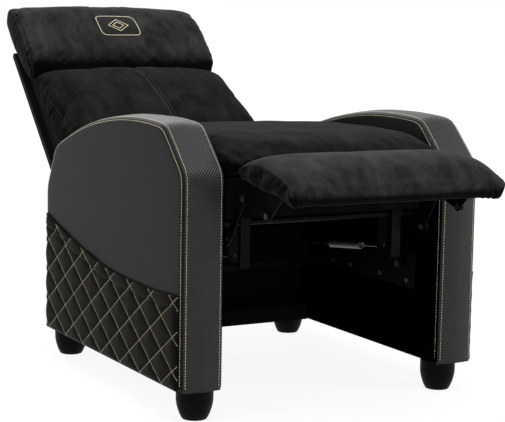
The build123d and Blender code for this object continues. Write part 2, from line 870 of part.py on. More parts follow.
def coil_point(turn):
    """The wire's centre after so many turns from the coil's start."""
    angle = 2 * pi * turn
    across = coil_side * (coil_radius * sin(angle)) + coil_up * (coil_radius * cos(angle))
    return coil_origin + coil_way * (coil_pitch * turn) + across


def coil_tangent(turn):
    angle = 2 * pi * turn
    around = coil_side * cos(angle) - coil_up * sin(angle)
    return (around * (2 * pi * coil_radius) + coil_way * coil_pitch).normalized()


lead_in = coil_origin - coil_way * coil_lead
lead_out = coil_origin + coil_way * (coil_pitch * coil_turns + coil_lead)
bend_in = hook_start - coil_way * hook_clearance
bend_out = hook_end + coil_way * hook_clearance
bend_start = bend_in + Vector(0, -hook_bend, hook_bend)
bend_end = bend_out + Vector(0, hook_bend, hook_bend)
spring_edges = biarc(bend_start, Vector(0, 0, -1), bend_in, coil_way)
spring_edges.append(Edge.make_line(bend_in, lead_in))
spring_edges += biarc(lead_in, coil_way, coil_point(0), coil_tangent(0))
for number in range(arcs_per_turn * coil_turns):
    start_turn = number / arcs_per_turn
    end_turn = (number + 1) / arcs_per_turn
    turn_start = (coil_point(start_turn), coil_tangent(start_turn))
    turn_end = (coil_point(end_turn), coil_tangent(end_turn))
    spring_edges += biarc(*turn_start, *turn_end)
spring_edges += biarc(coil_point(coil_turns), coil_tangent(coil_turns), lead_out, coil_way)
spring_edges.append(Edge.make_line(lead_out, bend_out))
spring_edges += biarc(bend_out, coil_way, bend_end, Vector(0, 0, 1))
spring_path = Wire(spring_edges)
with BuildPart() as tension_springs:
    with BuildSketch(Plane(origin=bend_start, z_dir=(0, 0, -1))):
        Circle(coil_wire / 2)
    sweep(path=spring_path)
    mirror(about=Plane.YZ)
save(tension_springs, "tension_springs")
wire_points = [edge @ share for edge in spring_edges for share in (0, 0.5)]
least = min(
    (first - second).length
    for index, first in enumerate(wire_points)
    for second in wire_points[index + wire_points_apart:]
)
print("tension spring least gap to itself", round(least - coil_wire, 2))

# Rivets that hold the lift links to the seat plates
link_hole = rivet_radius + pin_play
lift_outer = seat_plate_inner - link_gap
lift_inner = lift_outer - link_thickness
reach_outer = lift_inner - link_gap
reach_inner = reach_outer - link_thickness
bracket_outer = reach_inner - link_gap
bracket_inner = bracket_outer - link_thickness
foot_joint = from_footrest(bracket_reach, -bracket_drop)


def link_rivets(place, held_outer, held_inner, loose_outer, loose_inner):
    """A pair of rivets set in an outer plate, on which the next plate inwards turns."""
    shank = (loose_inner - play, held_outer, rivet_radius)
    shoulder = (loose_outer + play, held_inner, rivet_shoulder)
    outer_head = (held_outer, held_outer + link_rivet_head, link_rivet_head_radius)
    inner_head = (loose_inner - play - link_rivet_head, loose_inner - play, link_rivet_head_radius)
    with BuildPart() as rivets:
        add(stepped_pin(place, side_plane, (shank, shoulder, outer_head, inner_head)))
        mirror(about=Plane.YZ)
    return rivets.part


with BuildPart() as lift_pivot_rivets:
    add(link_rivets(lift_pivot, plate_outer, seat_plate_inner, lift_outer, lift_inner))
save(lift_pivot_rivets, "lift_pivot_rivets")

# Lift links and reach links: two flat bars on each side that carry the footrest
with BuildPart() as lift_links:
    lift_sizes = (lift_pivot, elbow_pivot, link_width, link_hole, rivet_radius)
    add(flat_link(lift_inner, link_thickness, *lift_sizes))
    mirror(about=Plane.YZ)
save(lift_links, "lift_links")
with BuildPart() as elbow_rivets:
    add(link_rivets(elbow_pivot, lift_outer, lift_inner, reach_outer, reach_inner))
save(elbow_rivets, "elbow_rivets")
with BuildPart() as reach_links:
    reach_sizes = (elbow_pivot, foot_joint, link_width, link_hole, rivet_radius)
    add(flat_link(reach_inner, link_thickness, *reach_sizes))
    mirror(about=Plane.YZ)
save(reach_links, "reach_links")
with BuildPart() as footrest_rivets:
    add(link_rivets(foot_joint, reach_outer, reach_inner, bracket_outer, bracket_inner))
save(footrest_rivets, "footrest_rivets")

# Footrest: a board in the underside of a crowned pad, with two steel brackets screwed to it
board_half = footrest_half - board_side_gap
screw_x = bracket_outer - bracket_flange / 2 - link_thickness / 2


def footrest_level(v):
    """The footrest's own plane at height v: local (u, x)."""
    place = from_footrest(0, v)
    towards = from_footrest(1, v)
    along = (0, towards[0] - place[0], towards[1] - place[1])
    return Plane(origin=(0, arm_centre_y + place[0], place[1]), x_dir=along, z_dir=(0, along[2], -along[1]))


screw_spots = [(u, side * screw_x) for u in (footrest_screw_rear, footrest_screw_front) for side in (1, -1)]
with BuildPart() as footrest_board:
    with BuildSketch(footrest_plane(board_half)):
        with Locations(((board_rear + board_front) / 2, board_thickness / 2)):
            Rectangle(board_front - board_rear, board_thickness)
    extrude(amount=2 * board_half)
    with BuildSketch(footrest_level(0)):
        with Locations(*screw_spots):
            Circle(footrest_screw_radius)
    extrude(amount=footrest_screw_length - link_thickness, mode=Mode.SUBTRACT)
save(footrest_board, "footrest_board")

pad_points = (
    (footrest_rear, 0),
    (footrest_front, 0),
    (footrest_front - footrest_nose_setback, footrest_front_height),
    (footrest_crown_front, footrest_crown),
    (footrest_crown_rear, footrest_crown),
    (footrest_rear, footrest_rear_height),
)
with BuildPart() as footrest_pad:
    pad_shares = (footrest_edge_share, footrest_near_share)
    add(padded_loft(footrest_plane, footrest_half, pad_shares, pad_points, lambda u: 0, footrest_corner_radii))
    with BuildSketch(footrest_plane(board_half)):
        with Locations(((board_rear + board_front) / 2, board_thickness / 2)):
            Rectangle(board_front - board_rear, board_thickness)
    extrude(amount=2 * board_half, mode=Mode.SUBTRACT)
save(footrest_pad, "footrest_pad")

with BuildPart() as footrest_brackets:
    with BuildSketch(footrest_plane(bracket_outer)) as web:
        with BuildLine():
            Polyline(
                (bracket_flange_rear, 0),
                (bracket_flange_front, 0),
                (bracket_reach + bracket_boss_radius, -bracket_drop),
                (bracket_reach - bracket_boss_radius, -bracket_drop),
                close=True,
            )
        make_face()
        with Locations((bracket_reach, -bracket_drop)):
            Circle(bracket_boss_radius)
            Circle(link_hole, mode=Mode.SUBTRACT)
    extrude(amount=link_thickness)
    flange_run = bracket_flange_front - bracket_flange_rear
    with BuildSketch(footrest_plane(bracket_outer)):
        with Locations(((bracket_flange_front + bracket_flange_rear) / 2, -link_thickness / 2)):
            Rectangle(flange_run, link_thickness)
    extrude(amount=bracket_flange)
    mirror(about=Plane.YZ)
    with BuildSketch(footrest_level(-link_thickness)):
        with Locations(*screw_spots):
            Circle(footrest_screw_radius)
    extrude(amount=link_thickness, mode=Mode.SUBTRACT)
save(footrest_brackets, "footrest_brackets")
with BuildPart() as footrest_screws:
    with BuildSketch(footrest_level(-link_thickness)):
        with Locations(*screw_spots):
            Circle(footrest_screw_radius)
    extrude(amount=footrest_screw_length)
    with BuildSketch(footrest_level(-link_thickness - footrest_screw_head)):
        with Locations(*screw_spots):
            Circle(footrest_screw_head_radius)
    extrude(amount=footrest_screw_head)
save(footrest_screws, "footrest_screws")

# Backrest frame: two posts, three rails and the rear board


def rear_n(s):
    """How far the back cushions' rear line stands out from the rear board at s."""
    return along_line(rear_line_low, rear_line_top, s)


def back_block(half_span, low, high):
    """A block across the backrest: low and high are its (s, n) corners."""
    with BuildPart() as block:
        with BuildSketch(back_plane(-half_span)):
            with Locations(((low[0] + high[0]) / 2, (low[1] + high[1]) / 2)):
                Rectangle(high[0] - low[0], high[1] - low[1])
        extrude(amount=2 * half_span)
    return block.part


with BuildPart() as back_board:
    add(back_block(back_board_half, (back_board_low, 0), (back_board_top, back_board_thickness)))
    fillet(back_board.edges().filter_by(Axis.X), radius=back_board_radius)
save(back_board, "back_board")

post_inner = post_outer - post_width
bolt_spots = ((back_bolt_low, back_bolt_n), (back_bolt_high, back_bolt_n))
with BuildPart() as back_post_left:
    with BuildSketch(back_plane(post_inner)):
        with BuildLine():
            Polyline(
                (post_low, back_board_thickness),
                (post_low, post_low_depth),
                (rear_line_low[0], rear_line_low[1] - soft_gap),
                (post_top, rear_n(post_top) - soft_gap),
                (post_top, back_board_thickness),
                close=True,
            )
        make_face()
        with Locations(*bolt_spots):
            Circle(back_bolt_radius, mode=Mode.SUBTRACT)
    extrude(amount=post_width)
with BuildPart() as back_post_right:
    add(mirrored(back_post_left.part))
save(back_post_left, "back_post_left")
save(back_post_right, "back_post_right")

with BuildPart() as back_rails:
    top_front = back_board_thickness + rail_top_depth
    add(back_block(post_inner, (rail_top_low, back_board_thickness), (rail_top_high, top_front)))
    add(back_block(post_inner, (rail_middle_low, rail_middle_rear), (rail_middle_high, rail_middle_front)))
    add(back_block(post_inner, (rail_bottom_low, back_board_thickness), (rail_bottom_high, rail_bottom_front)))
save(back_rails, "back_rails")

with BuildPart() as back_springs:
    spring_base = back_plane(0)
    back_spring_pitch = 2 * (post_inner - back_spring_margin) / (back_spring_count - 1)
    for index in range(back_spring_count):
        spring_x = (index - (back_spring_count - 1) / 2) * back_spring_pitch
        spring_origin = spring_base.from_local_coords(Vector(0, back_spring_n, spring_x))
        spring_plane = Plane(origin=spring_origin, x_dir=(1, 0, 0), z_dir=spring_base.y_dir)
        zigzag = (back_spring_half_width, back_spring_waves, back_spring_wire)
        add(wave_spring(spring_plane, rail_bottom_high, rail_middle_low, *zigzag))
save(back_springs, "back_springs")

# Backrest brackets, their bolts and the hinge pins
hinge_back = to_back(hinge_pivot)
bracket_far = post_outer + back_bracket_thickness
boss_s = back_bracket_boss * plate_boss_share
with BuildPart() as back_brackets:
    with BuildSketch(back_plane(post_outer)) as bracket_face:
        with BuildLine():
            Polyline(
                (back_bracket_high, back_bracket_rear),
                (back_bracket_high, back_bracket_front),
                back_bracket_waist,
                (hinge_back[0] + boss_s, hinge_back[1] + boss_s),
                (hinge_back[0] - boss_s, hinge_back[1] - boss_s),
                (back_bracket_low, back_bracket_rear),
                close=True,
            )
        make_face()
        fillet(bracket_face.vertices(), radius=back_bracket_radius)
        with Locations(hinge_back):
            Circle(back_bracket_boss)
            Circle(hinge_radius + pin_play, mode=Mode.SUBTRACT)
        with Locations(*bolt_spots):
            Circle(back_bolt_radius, mode=Mode.SUBTRACT)
    extrude(amount=back_bracket_thickness)
    mirror(about=Plane.YZ)
save(back_brackets, "back_brackets")
with BuildPart() as back_bracket_bolts:
    for spot in bolt_spots:
        shank = (post_inner, bracket_far, back_bolt_radius)
        head = (post_inner - back_bolt_head, post_inner, back_bolt_head_radius)
        add(stepped_pin(spot, back_plane, (shank, head)))
    mirror(about=Plane.YZ)
save(back_bracket_bolts, "back_bracket_bolts")
with BuildPart() as back_hinge_pins:
    shank = (post_outer - play, plate_outer, hinge_radius)
    shoulder = (bracket_far + play, seat_plate_inner, hinge_head_radius)
    outer_head = (plate_outer, plate_outer + rivet_head, hinge_head_radius)
    inner_head = (post_outer - play - hinge_head, post_outer - play, hinge_head_radius)
    add(stepped_pin(hinge_pivot, side_plane, (shank, shoulder, outer_head, inner_head)))
    mirror(about=Plane.YZ)
save(back_hinge_pins, "back_hinge_pins")

# Back cushions: the lower one and the head cushion above the crease
with BuildPart() as lower_back_cushion:
    low_s = back_cushion_face[-1][0]
    top_s = back_cushion_face[0][0]
    back_points = ((low_s, rear_n(low_s)), (top_s, rear_n(top_s))) + back_cushion_face
    back_shares = (back_edge_share, back_near_share)
    add(padded_loft(back_plane, back_cushion_half, back_shares, back_points, rear_n, back_corner_radii))
save(lower_back_cushion, "lower_back_cushion")
with BuildPart() as head_cushion:
    head_low = crease_s + crease_gap
    head_points = ((head_low, rear_n(head_low)), rear_line_top) + head_face
    head_shares = (head_edge_share, head_near_share)
    add(padded_loft(back_plane, back_cushion_half, head_shares, head_points, rear_n, head_corner_radii))
save(head_cushion, "head_cushion")
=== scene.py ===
import bpy
import numpy as np
from math import atan2, cos, hypot, pi, radians, sin
from mathutils import Matrix, Vector, noise
from mathutils.bvhtree import BVHTree


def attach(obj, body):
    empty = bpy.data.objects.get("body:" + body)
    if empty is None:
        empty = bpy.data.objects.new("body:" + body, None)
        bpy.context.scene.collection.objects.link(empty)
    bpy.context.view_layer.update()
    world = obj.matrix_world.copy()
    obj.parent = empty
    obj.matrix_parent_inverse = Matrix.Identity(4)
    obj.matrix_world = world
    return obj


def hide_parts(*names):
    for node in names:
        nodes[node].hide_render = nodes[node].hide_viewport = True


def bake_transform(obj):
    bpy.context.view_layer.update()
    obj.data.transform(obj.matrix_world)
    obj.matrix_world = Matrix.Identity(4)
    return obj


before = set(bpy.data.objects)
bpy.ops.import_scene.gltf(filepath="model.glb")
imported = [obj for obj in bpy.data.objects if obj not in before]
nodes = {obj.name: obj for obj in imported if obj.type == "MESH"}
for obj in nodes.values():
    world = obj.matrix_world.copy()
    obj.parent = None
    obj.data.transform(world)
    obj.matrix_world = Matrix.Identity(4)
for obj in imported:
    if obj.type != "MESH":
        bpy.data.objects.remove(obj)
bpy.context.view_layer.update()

# The camera stands at the photograph's place: in front of the chair's right arm, a little above it.
# It looks slightly down, with a long lens and a roll of one degree.
yaw, pitch, roll = radians(-28.969), radians(7.389), radians(1.005)
toward_camera = Vector((sin(yaw) * cos(pitch), -cos(yaw) * cos(pitch), sin(pitch)))
level_right = (-toward_camera).cross(Vector((0, 0, 1))).normalized()
level_up = level_right.cross(-toward_camera)
view_right = cos(roll) * level_right + sin(roll) * level_up
view_up = cos(roll) * level_up - sin(roll) * level_right
camera = bpy.data.objects.new("camera", bpy.data.cameras.new("camera"))
bpy.context.scene.collection.objects.link(camera)
camera.data.lens = 108.257
camera.data.sensor_width = 36
camera.data.clip_start = 0.05
camera_place = (-1.8573, -3.5363, 0.9126)
axes = Matrix((view_right, view_up, toward_camera)).transposed().to_4x4()
camera.matrix_world = Matrix.Translation(camera_place) @ axes
bpy.context.scene.camera = camera
bpy.context.scene.view_settings.view_transform = "Standard"


def add_node(tree, kind, inputs=None, **settings):
    """A node with its settings and the values of its inputs. A node as a value means its first output."""
    made = tree.nodes.new(kind)
    for name, value in settings.items():
        setattr(made, name, value)
    for name, value in (inputs or {}).items():
        if isinstance(value, bpy.types.Node):
            value = value.outputs[0]
        if isinstance(value, bpy.types.NodeSocket):
            tree.links.new(value, made.inputs[name])
        else:
            made.inputs[name].default_value = value
    return made


def object_place(tree):
    """The coordinates of a piece in metres."""
    return add_node(tree, "ShaderNodeTexCoord").outputs["Object"]


def speckle(tree, where, scale, detail, roughness=0.5, distortion=0.0):
    """Cloudy noise, with scale cells to the metre."""
    return add_node(tree, "ShaderNodeTexNoise", {
        "Vector": where, "Scale": scale, "Detail": detail, "Roughness": roughness, "Distortion": distortion,
    })


def math_node(tree, operation, *values):
    """A sum, product or other operation on two or three values."""
    return add_node(tree, "ShaderNodeMath", dict(enumerate(values)), operation=operation)


def ranged(tree, value, given, wanted):
    """A value with one range turned into another, and kept inside it."""
    return add_node(tree, "ShaderNodeMapRange", {
        "Value": value, "From Min": given[0], "From Max": given[1], "To Min": wanted[0], "To Max": wanted[1],
    })


def between(tree, share, first, second):
    """A colour between two."""
    return add_node(tree, "ShaderNodeMixRGB", {0: share, 1: (*first, 1), 2: (*second, 1)})


def times(tree, colour, shade):
    """A colour made darker or lighter by a shade."""
    return add_node(tree, "ShaderNodeMixRGB", {0: 1.0, 1: colour, 2: shade}, blend_type="MULTIPLY")


def upward(tree, vector):
    """The third coordinate of a vector."""
    return add_node(tree, "ShaderNodeSeparateXYZ", {"Vector": vector}).outputs["Z"]


def bands(tree, where, scale, direction):
    """Parallel bands across a direction, as a height from 0 to 1."""
    wave = add_node(tree, "ShaderNodeTexWave", {"Vector": where, "Scale": scale}, bands_direction=direction)
    return wave.outputs["Fac"]


def bump_from(tree, height, distance, strength, under=None):
    """A normal from a height, laid over another normal where one is given."""
    inputs = {"Height": height, "Distance": distance, "Strength": strength}
    if under is not None:
        inputs["Normal"] = under
    return add_node(tree, "ShaderNodeBump", inputs)


def seen_share(tree):
    """1 for rays from the camera, from glossy surfaces and through clear ones, and 0 for the rest."""
    rays = add_node(tree, "ShaderNodeLightPath").outputs
    seen = math_node(tree, "MAXIMUM", rays["Is Camera Ray"], rays["Is Glossy Ray"])
    return math_node(tree, "MAXIMUM", seen, rays["Is Transmission Ray"])


def shaded(tree, out, colour, roughness, normal, more=None):
    """The shader of a surface, joined to its material's output."""
    shader = add_node(tree, "ShaderNodeBsdfPrincipled", {
        "Base Color": colour, "Roughness": roughness, "Normal": normal, **(more or {}),
    })
    tree.links.new(shader.outputs[0], out.inputs["Surface"])
    return shader


def new_sockets(group, direction, kind, *names):
    """Inputs or outputs of a node group."""
    for name in names:
        group.interface.new_socket(name, in_out=direction, socket_type="NodeSocket" + kind)


def new_object(name, data):
    """An object of the scene, at its origin."""
    made = bpy.data.objects.new(name, data)
    bpy.context.scene.collection.objects.link(made)
    return made


def new_material(name):
    """An empty node material and its output node."""
    made = bpy.data.materials.new(name)
    made.use_nodes = True
    made.node_tree.nodes.clear()
    return made, made.node_tree, made.node_tree.nodes.new("ShaderNodeOutputMaterial")


# The room: a pale floor and a plain white surround, seen by the camera and in reflections only.
# Soft lamps stand for studio boxes: one above, one at each side of the front, one behind.
floor_material, tree, out = new_material("pale_floor")
floor_colour = add_node(tree, "ShaderNodeBsdfDiffuse", {"Color": (0.8, 0.8, 0.8, 1)})
floor_light = add_node(tree, "ShaderNodeEmission", {"Color": (1, 1, 1, 1), "Strength": 1.08})
away = add_node(tree, "ShaderNodeVectorMath", {0: object_place(tree)}, operation="LENGTH")
plain_share = ranged(tree, away.outputs["Value"], (1.2, 3.0), (0.84, 1.0))
share = math_node(tree, "MULTIPLY", seen_share(tree), plain_share)
mix = add_node(tree, "ShaderNodeMixShader", {0: share, 1: floor_colour, 2: floor_light})
tree.links.new(mix.outputs[0], out.inputs["Surface"])
floor_mesh = bpy.data.meshes.new("floor")
floor_mesh.from_pydata([(-30, -30, 0), (30, -30, 0), (30, 30, 0), (-30, 30, 0)], [], [(0, 1, 2, 3)])
floor_mesh.materials.append(floor_material)
floor = new_object("floor", floor_mesh)

world = bpy.data.worlds.new("studio")
world.use_nodes = True
tree = world.node_tree
tree.nodes.clear()
out = tree.nodes.new("ShaderNodeOutputWorld")
strength = math_node(tree, "MAXIMUM", seen_share(tree), 0.4)
sky = add_node(tree, "ShaderNodeBackground", {"Color": (1, 1, 1, 1), "Strength": strength})
tree.links.new(sky.outputs[0], out.inputs["Surface"])
bpy.context.scene.world = world

aimed_at = Vector((0, -0.1, 0.5))
for name, place, size, power in (
    ("lamp_above", (-0.3, -0.9, 3.2), 2.6, 66),
    ("lamp_right_front", (-3.0, -1.0, 2.9), 2.0, 30),
    ("lamp_left_front", (2.4, -2.5, 1.2), 1.3, 38),
    ("lamp_behind", (0.6, 3.0, 2.4), 2.2, 38),
):
    lamp = bpy.data.lights.new(name, "AREA")
    lamp.shape = "DISK"
    lamp.size = size
    lamp.energy = power
    stand = new_object(name, lamp)
    aim = aimed_at - Vector(place)
    stand.matrix_world = Matrix.Translation(place) @ aim.to_track_quat("-Z", "Y").to_matrix().to_4x4()

# Arm bands: leatherette strips with a fine diagonal rib, wrapped over the front, top and rear of each arm.
# They are sewn to the arm's side covers along both edges and stapled under the arm.
arm_middle_y = -0.18
arm_half = 0.408
arm_foot = 0.0735
arm_corners = ((-1, 0), (-1, 0.824), (-0.748, 0.993), (0.846, 0.829), (1, 0.642), (1, 0))
arm_rise = 0.5945
crown_at = (0.05, 0.982)
corner_spread = 0.015


def circle_through(a, b, c, count):
    """Points on the arc from a to c through b, without a."""
    ax, ay, bx, by, cx, cy = *a, *b, *c
    d = 2 * (ax * (by - cy) + bx * (cy - ay) + cx * (ay - by))
    sa, sb, sc = ax * ax + ay * ay, bx * bx + by * by, cx * cx + cy * cy
    ux = (sa * (by - cy) + sb * (cy - ay) + sc * (ay - by)) / d
    uy = (sa * (cx - bx) + sb * (ax - cx) + sc * (bx - ax)) / d
    start, end = atan2(ay - uy, ax - ux), atan2(cy - uy, cx - ux)
    r = hypot(ax - ux, ay - uy)
    turns = start + (end - start) * np.arange(1, count + 1) / count
    return [(ux + r * cos(t), uy + r * sin(t)) for t in turns]


def even_points(points, count, closed=False):
    """The same line with its points spread evenly."""
    points = np.array(points, float)
    if closed:
        points = np.vstack([points, points[:1]])
    steps = np.r_[0, np.cumsum(np.linalg.norm(np.diff(points, axis=0), axis=1))]
    at = np.linspace(0, steps[-1], count + 1 if closed else count)
    line = np.stack([np.interp(at, steps, points[:, k]) for k in range(points.shape[1])], 1)
    return line[:-1] if closed else line


def softened(points, spread, closed=False):
    """The line with its corners rounded by an average over about spread metres each way."""
    step = np.linalg.norm(points[1] - points[0])
    reach = int(3 * spread / step)
    weights = np.exp(-0.5 * (np.arange(-reach, reach + 1) * step / spread) ** 2)
    weights /= weights.sum()
    if closed:
        padded = np.vstack([points[-reach:], points, points[:reach]])
    else:
        before = 2 * points[0] - points[reach:0:-1]
        after = 2 * points[-1] - points[-2:-reach - 2:-1]
        padded = np.vstack([before, points, after])
    return np.stack([np.convolve(padded[:, k], weights, "valid") for k in range(points.shape[1])], 1)


def outward(points, closed=False):
    """Unit normals on the left of the line's direction."""
    if closed:
        run = np.roll(points, -1, 0) - np.roll(points, 1, 0)
    else:
        run = np.gradient(points, axis=0)
    run /= np.linalg.norm(run, axis=1)[:, None]
    return np.stack([-run[:, 1], run[:, 0]], 1)


drawn = [(y * arm_half, arm_foot + z * arm_rise) for y, z in arm_corners]
crown = (crown_at[0] * arm_half, arm_foot + crown_at[1] * arm_rise)
raw_outline = drawn[:3] + circle_through(drawn[2], crown, drawn[3], 40) + drawn[4:]
arm_line = softened(even_points(raw_outline, 300), corner_spread)
arm_normals = outward(arm_line)


def new_piece(name, points, faces, material, body, uv=None):
    """A mesh piece in the chair's frame, riding on a body. Its uv is a pair for each point, in metres."""
    mesh = bpy.data.meshes.new(name)
    mesh.from_pydata([tuple(map(float, p)) for p in points], [], faces)
    if uv is not None:
        layer = mesh.uv_layers.new(name="UVMap")
        corners = np.empty(len(mesh.loops), int)
        mesh.loops.foreach_get("vertex_index", corners)
        layer.data.foreach_set("uv", np.asarray(uv, np.float32)[corners].ravel())
    mesh.materials.append(material)
    mesh.shade_smooth()
    made = new_object(name, mesh)
    if body:
        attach(made, body)
    return made


def grid_faces(rows, columns, wrap=False, offset=0, flip=False):
    """Quads over a grid of points laid out row by row; wrap joins the last column to the first."""
    faces = []
    for i in range(rows - 1):
        for j in range(columns if wrap else columns - 1):
            k = (j + 1) % columns
            quad = (i * columns + j, i * columns + k, (i + 1) * columns + k, (i + 1) * columns + j)
            faces.append(tuple(offset + n for n in (quad[::-1] if flip else quad)))
    return faces


def end_caps(points, columns):
    """The first and the last row of a lofted piece, as two faces."""
    return tuple(range(columns)), tuple(range(len(points) - columns, len(points)))


def fan(start, columns, centre):
    """Triangles from a closed row of points to one point."""
    return [(start + j, start + (j + 1) % columns, centre) for j in range(columns)]


def bell(distance, width):
    """1 at no distance, falling off smoothly over about the width."""
    return np.exp(-(distance / width) ** 2)


def ramp(distance, width):
    """0 up to no distance, rising evenly to 1 at the width."""
    return np.clip(distance / width, 0, 1)


# Fine grain of leatherette: small pebbles and creases, as a height and as a change of gloss.
grain_group = bpy.data.node_groups.new("leatherette_grain", "ShaderNodeTree")
new_sockets(grain_group, "INPUT", "Vector", "Vector")
new_sockets(grain_group, "INPUT", "Float", "Pebbles per metre")
new_sockets(grain_group, "OUTPUT", "Float", "Height", "Gloss change", "Shade")
given = grain_group.nodes.new("NodeGroupInput")
result = grain_group.nodes.new("NodeGroupOutput")
pebbles = add_node(grain_group, "ShaderNodeTexVoronoi", {
    "Vector": given.outputs["Vector"], "Scale": given.outputs["Pebbles per metre"], "Smoothness": 0.6,
}, feature="SMOOTH_F1")
creases = speckle(grain_group, given.outputs["Vector"], 220, 5)
wear = speckle(grain_group, given.outputs["Vector"], 7, 6)
height = math_node(grain_group, "SUBTRACT", creases, pebbles)
gloss = ranged(grain_group, creases, (0.3, 0.7), (-0.05, 0.05))
shade = ranged(grain_group, wear, (0.3, 0.7), (0.9, 1.1))
for socket, node in (("Height", height), ("Gloss change", gloss), ("Shade", shade)):
    grain_group.links.new(node.outputs[0], result.inputs[socket])


def leatherette(name, colour, roughness, gloss, grain_depth=0.00012):
    """A black leatherette: grain as bump, with a slight change of shade and gloss over the surface."""
    made, tree, out = new_material(name)
    inputs = {"Vector": object_place(tree), "Pebbles per metre": 900}
    grain = add_node(tree, "ShaderNodeGroup", inputs, node_tree=grain_group)
    base = times(tree, (*colour, 1), grain.outputs["Shade"])
    rough = math_node(tree, "ADD", grain.outputs["Gloss change"], roughness)
    bump = bump_from(tree, grain.outputs["Height"], grain_depth, 0.6)
    shader = shaded(tree, out, base, rough, bump, {"Specular IOR Level": gloss})
    return made, tree, base, bump, shader


ribbed, tree, base, bump, shader = leatherette(
    "ribbed_leatherette", (0.005, 0.005, 0.005), 0.4, gloss=0.32, grain_depth=0.00005)
on_cloth = add_node(tree, "ShaderNodeUVMap", uv_map="UVMap")
heights = []
for angle in (49, -41):
    turned = add_node(tree, "ShaderNodeMapping", {"Vector": on_cloth, "Rotation": (0, 0, radians(angle))})
    heights.append(bands(tree, turned, 57, "X"))
twill = math_node(tree, "MULTIPLY_ADD", heights[1], 0.18, heights[0])
rib_bump = bump_from(tree, twill, 0.0013, 0.9, under=bump)
lift = ranged(tree, twill, (0.1, 1.1), (0.25, 2.6))
ribs_colour = times(tree, base, lift)
rib_gloss = ranged(tree, twill, (0.1, 1.1), (0.62, 0.3))
for socket, node in (("Roughness", rib_gloss), ("Base Color", ribs_colour), ("Normal", rib_bump)):
    tree.links.new(node.outputs[0], shader.inputs[socket])

band_section = np.array([
    (0.3, -0.0095), (0.2978, -0.0065), (0.2975, -0.0035), (0.299, -0.001), (0.302, 0.0004),
    (0.308, 0.0013), (0.32, 0.0036), (0.346, 0.0058), (0.372, 0.0036), (0.383, 0.0018),
    (0.389, 0.0004), (0.392, -0.001), (0.3935, -0.0035), (0.3932, -0.0065), (0.391, -0.0095),
])


def band_point(i, x, out_by):
    """A point of the band's surface at station i of the arm's outline."""
    y, z = arm_line[i] + arm_normals[i] * out_by
    return (x, arm_middle_y + y, z)


line_length = np.r_[0, np.cumsum(np.linalg.norm(np.diff(arm_line, axis=0), axis=1))]
hands = ((-1, "right"), (1, "left"))
for side, hand in hands:
    points, uv = [], []
    for i in range(len(arm_line)):
        for x, out_by in band_section:
            points.append((side * x, *band_point(i, x, out_by)[1:]))
            uv.append((line_length[i], side * x))
    columns = len(band_section)
    faces = grid_faces(len(arm_line), columns, wrap=True, flip=side < 0)
    first, last = end_caps(points, columns)
    faces += [first, last[::-1]] if side < 0 else [first[::-1], last]
    band = new_piece(f"band_{hand}", points, faces, ribbed, "base", uv)
    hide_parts(f"arm_band_{hand}")

# Side covers and inner covers: smooth leatherette over thin foam, sewn to the bands.
# The outer cover is slightly domed and its edge rolls into the seam.
side_leatherette = leatherette("side_leatherette", (0.0072, 0.0072, 0.0073), 0.46, gloss=0.075)[0]
inner_leatherette, tree, base, bump, shader = leatherette(
    "inner_leatherette", (0.0075, 0.0075, 0.0076), 0.44, gloss=0.12)
# Painted shade: below about 0.535 m the inner covers turn into a near-black matte surface that stands in for
# the shadow inside the arms.
painted_shade_lower = add_node(tree, "ShaderNodeBsdfDiffuse", {"Color": (0.0012, 0.0012, 0.0012, 1), "Normal": bump})
above_painted_shade = ranged(tree, upward(tree, object_place(tree)), (0.535, 0.538), (0.0, 1.0))
both = add_node(tree, "ShaderNodeMixShader", {0: above_painted_shade, 1: painted_shade_lower, 2: shader})
out = [made for made in tree.nodes if made.type == "OUTPUT_MATERIAL"][0]
tree.links.new(both.outputs[0], out.inputs["Surface"])
bottom = even_points([arm_line[-1], (0.3, arm_foot), (-0.3, arm_foot), arm_line[0]], 60)[1:-1]
closed_line = even_points(np.vstack([arm_line, bottom]), 420, closed=True)
closed_line = softened(closed_line, 0.004, closed=True)
cover_middle = np.array((0.0, arm_foot + arm_rise / 2))
cover_half = np.array((arm_half, arm_rise / 2))


def drawn_in(loop, share):
    """The loop scaled about the cover's middle."""
    return cover_middle + (loop - cover_middle) * share


def cover_piece(name, side, rings, inner_rings, material):
    """A domed panel: rings are (inset, x) along the outline, inner_rings (share, x) towards its middle."""
    loops = [(drawn_in(closed_line, 1 - inset / cover_half), x) for inset, x in rings]
    last = loops[-1][0]
    loops += [(drawn_in(last, share), x) for share, x in inner_rings]
    points = [(side * x, arm_middle_y + y, z) for loop, x in loops for y, z in loop]
    columns = len(closed_line)
    out_ward = side * (1 if loops[-1][1] > loops[0][1] else -1)
    faces = grid_faces(len(loops), columns, wrap=True, flip=out_ward < 0)
    points.append((side * inner_rings[-1][1], arm_middle_y + cover_middle[0], cover_middle[1]))
    closing = fan((len(loops) - 1) * columns, columns, len(points) - 1)
    faces += [face[::-1] if out_ward < 0 else face for face in closing]
    back = tuple(range(columns))
    faces.append(back if out_ward < 0 else back[::-1])
    return new_piece(name, points, faces, material, "base")


side_rings = (
    (0.0055, 0.3905), (0.0028, 0.392), (0.0024, 0.394), (0.0036, 0.396), (0.0062, 0.3978),
    (0.01, 0.399), (0.016, 0.3997), (0.026, 0.4001),
)
side_inner = ((0.92, 0.4004), (0.8, 0.4008), (0.6, 0.4012), (0.4, 0.4014), (0.2, 0.4015))
inner_rings = (
    (0.005, 0.2995), (0.003, 0.2985), (0.003, 0.2965), (0.005, 0.295), (0.009, 0.2943),
    (0.02, 0.294),
)
inner_inner = ((0.9, 0.294), (0.6, 0.294), (0.3, 0.294))
for side, hand in hands:
    for kind, rings, inner, material in (
        ("side", side_rings, side_inner, side_leatherette),
        ("inner", inner_rings, inner_inner, inner_leatherette),
    ):
        cover = cover_piece(f"{kind}_cover_{hand}", side, rings, inner, material)
        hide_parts(f"arm_{kind}_{hand}")

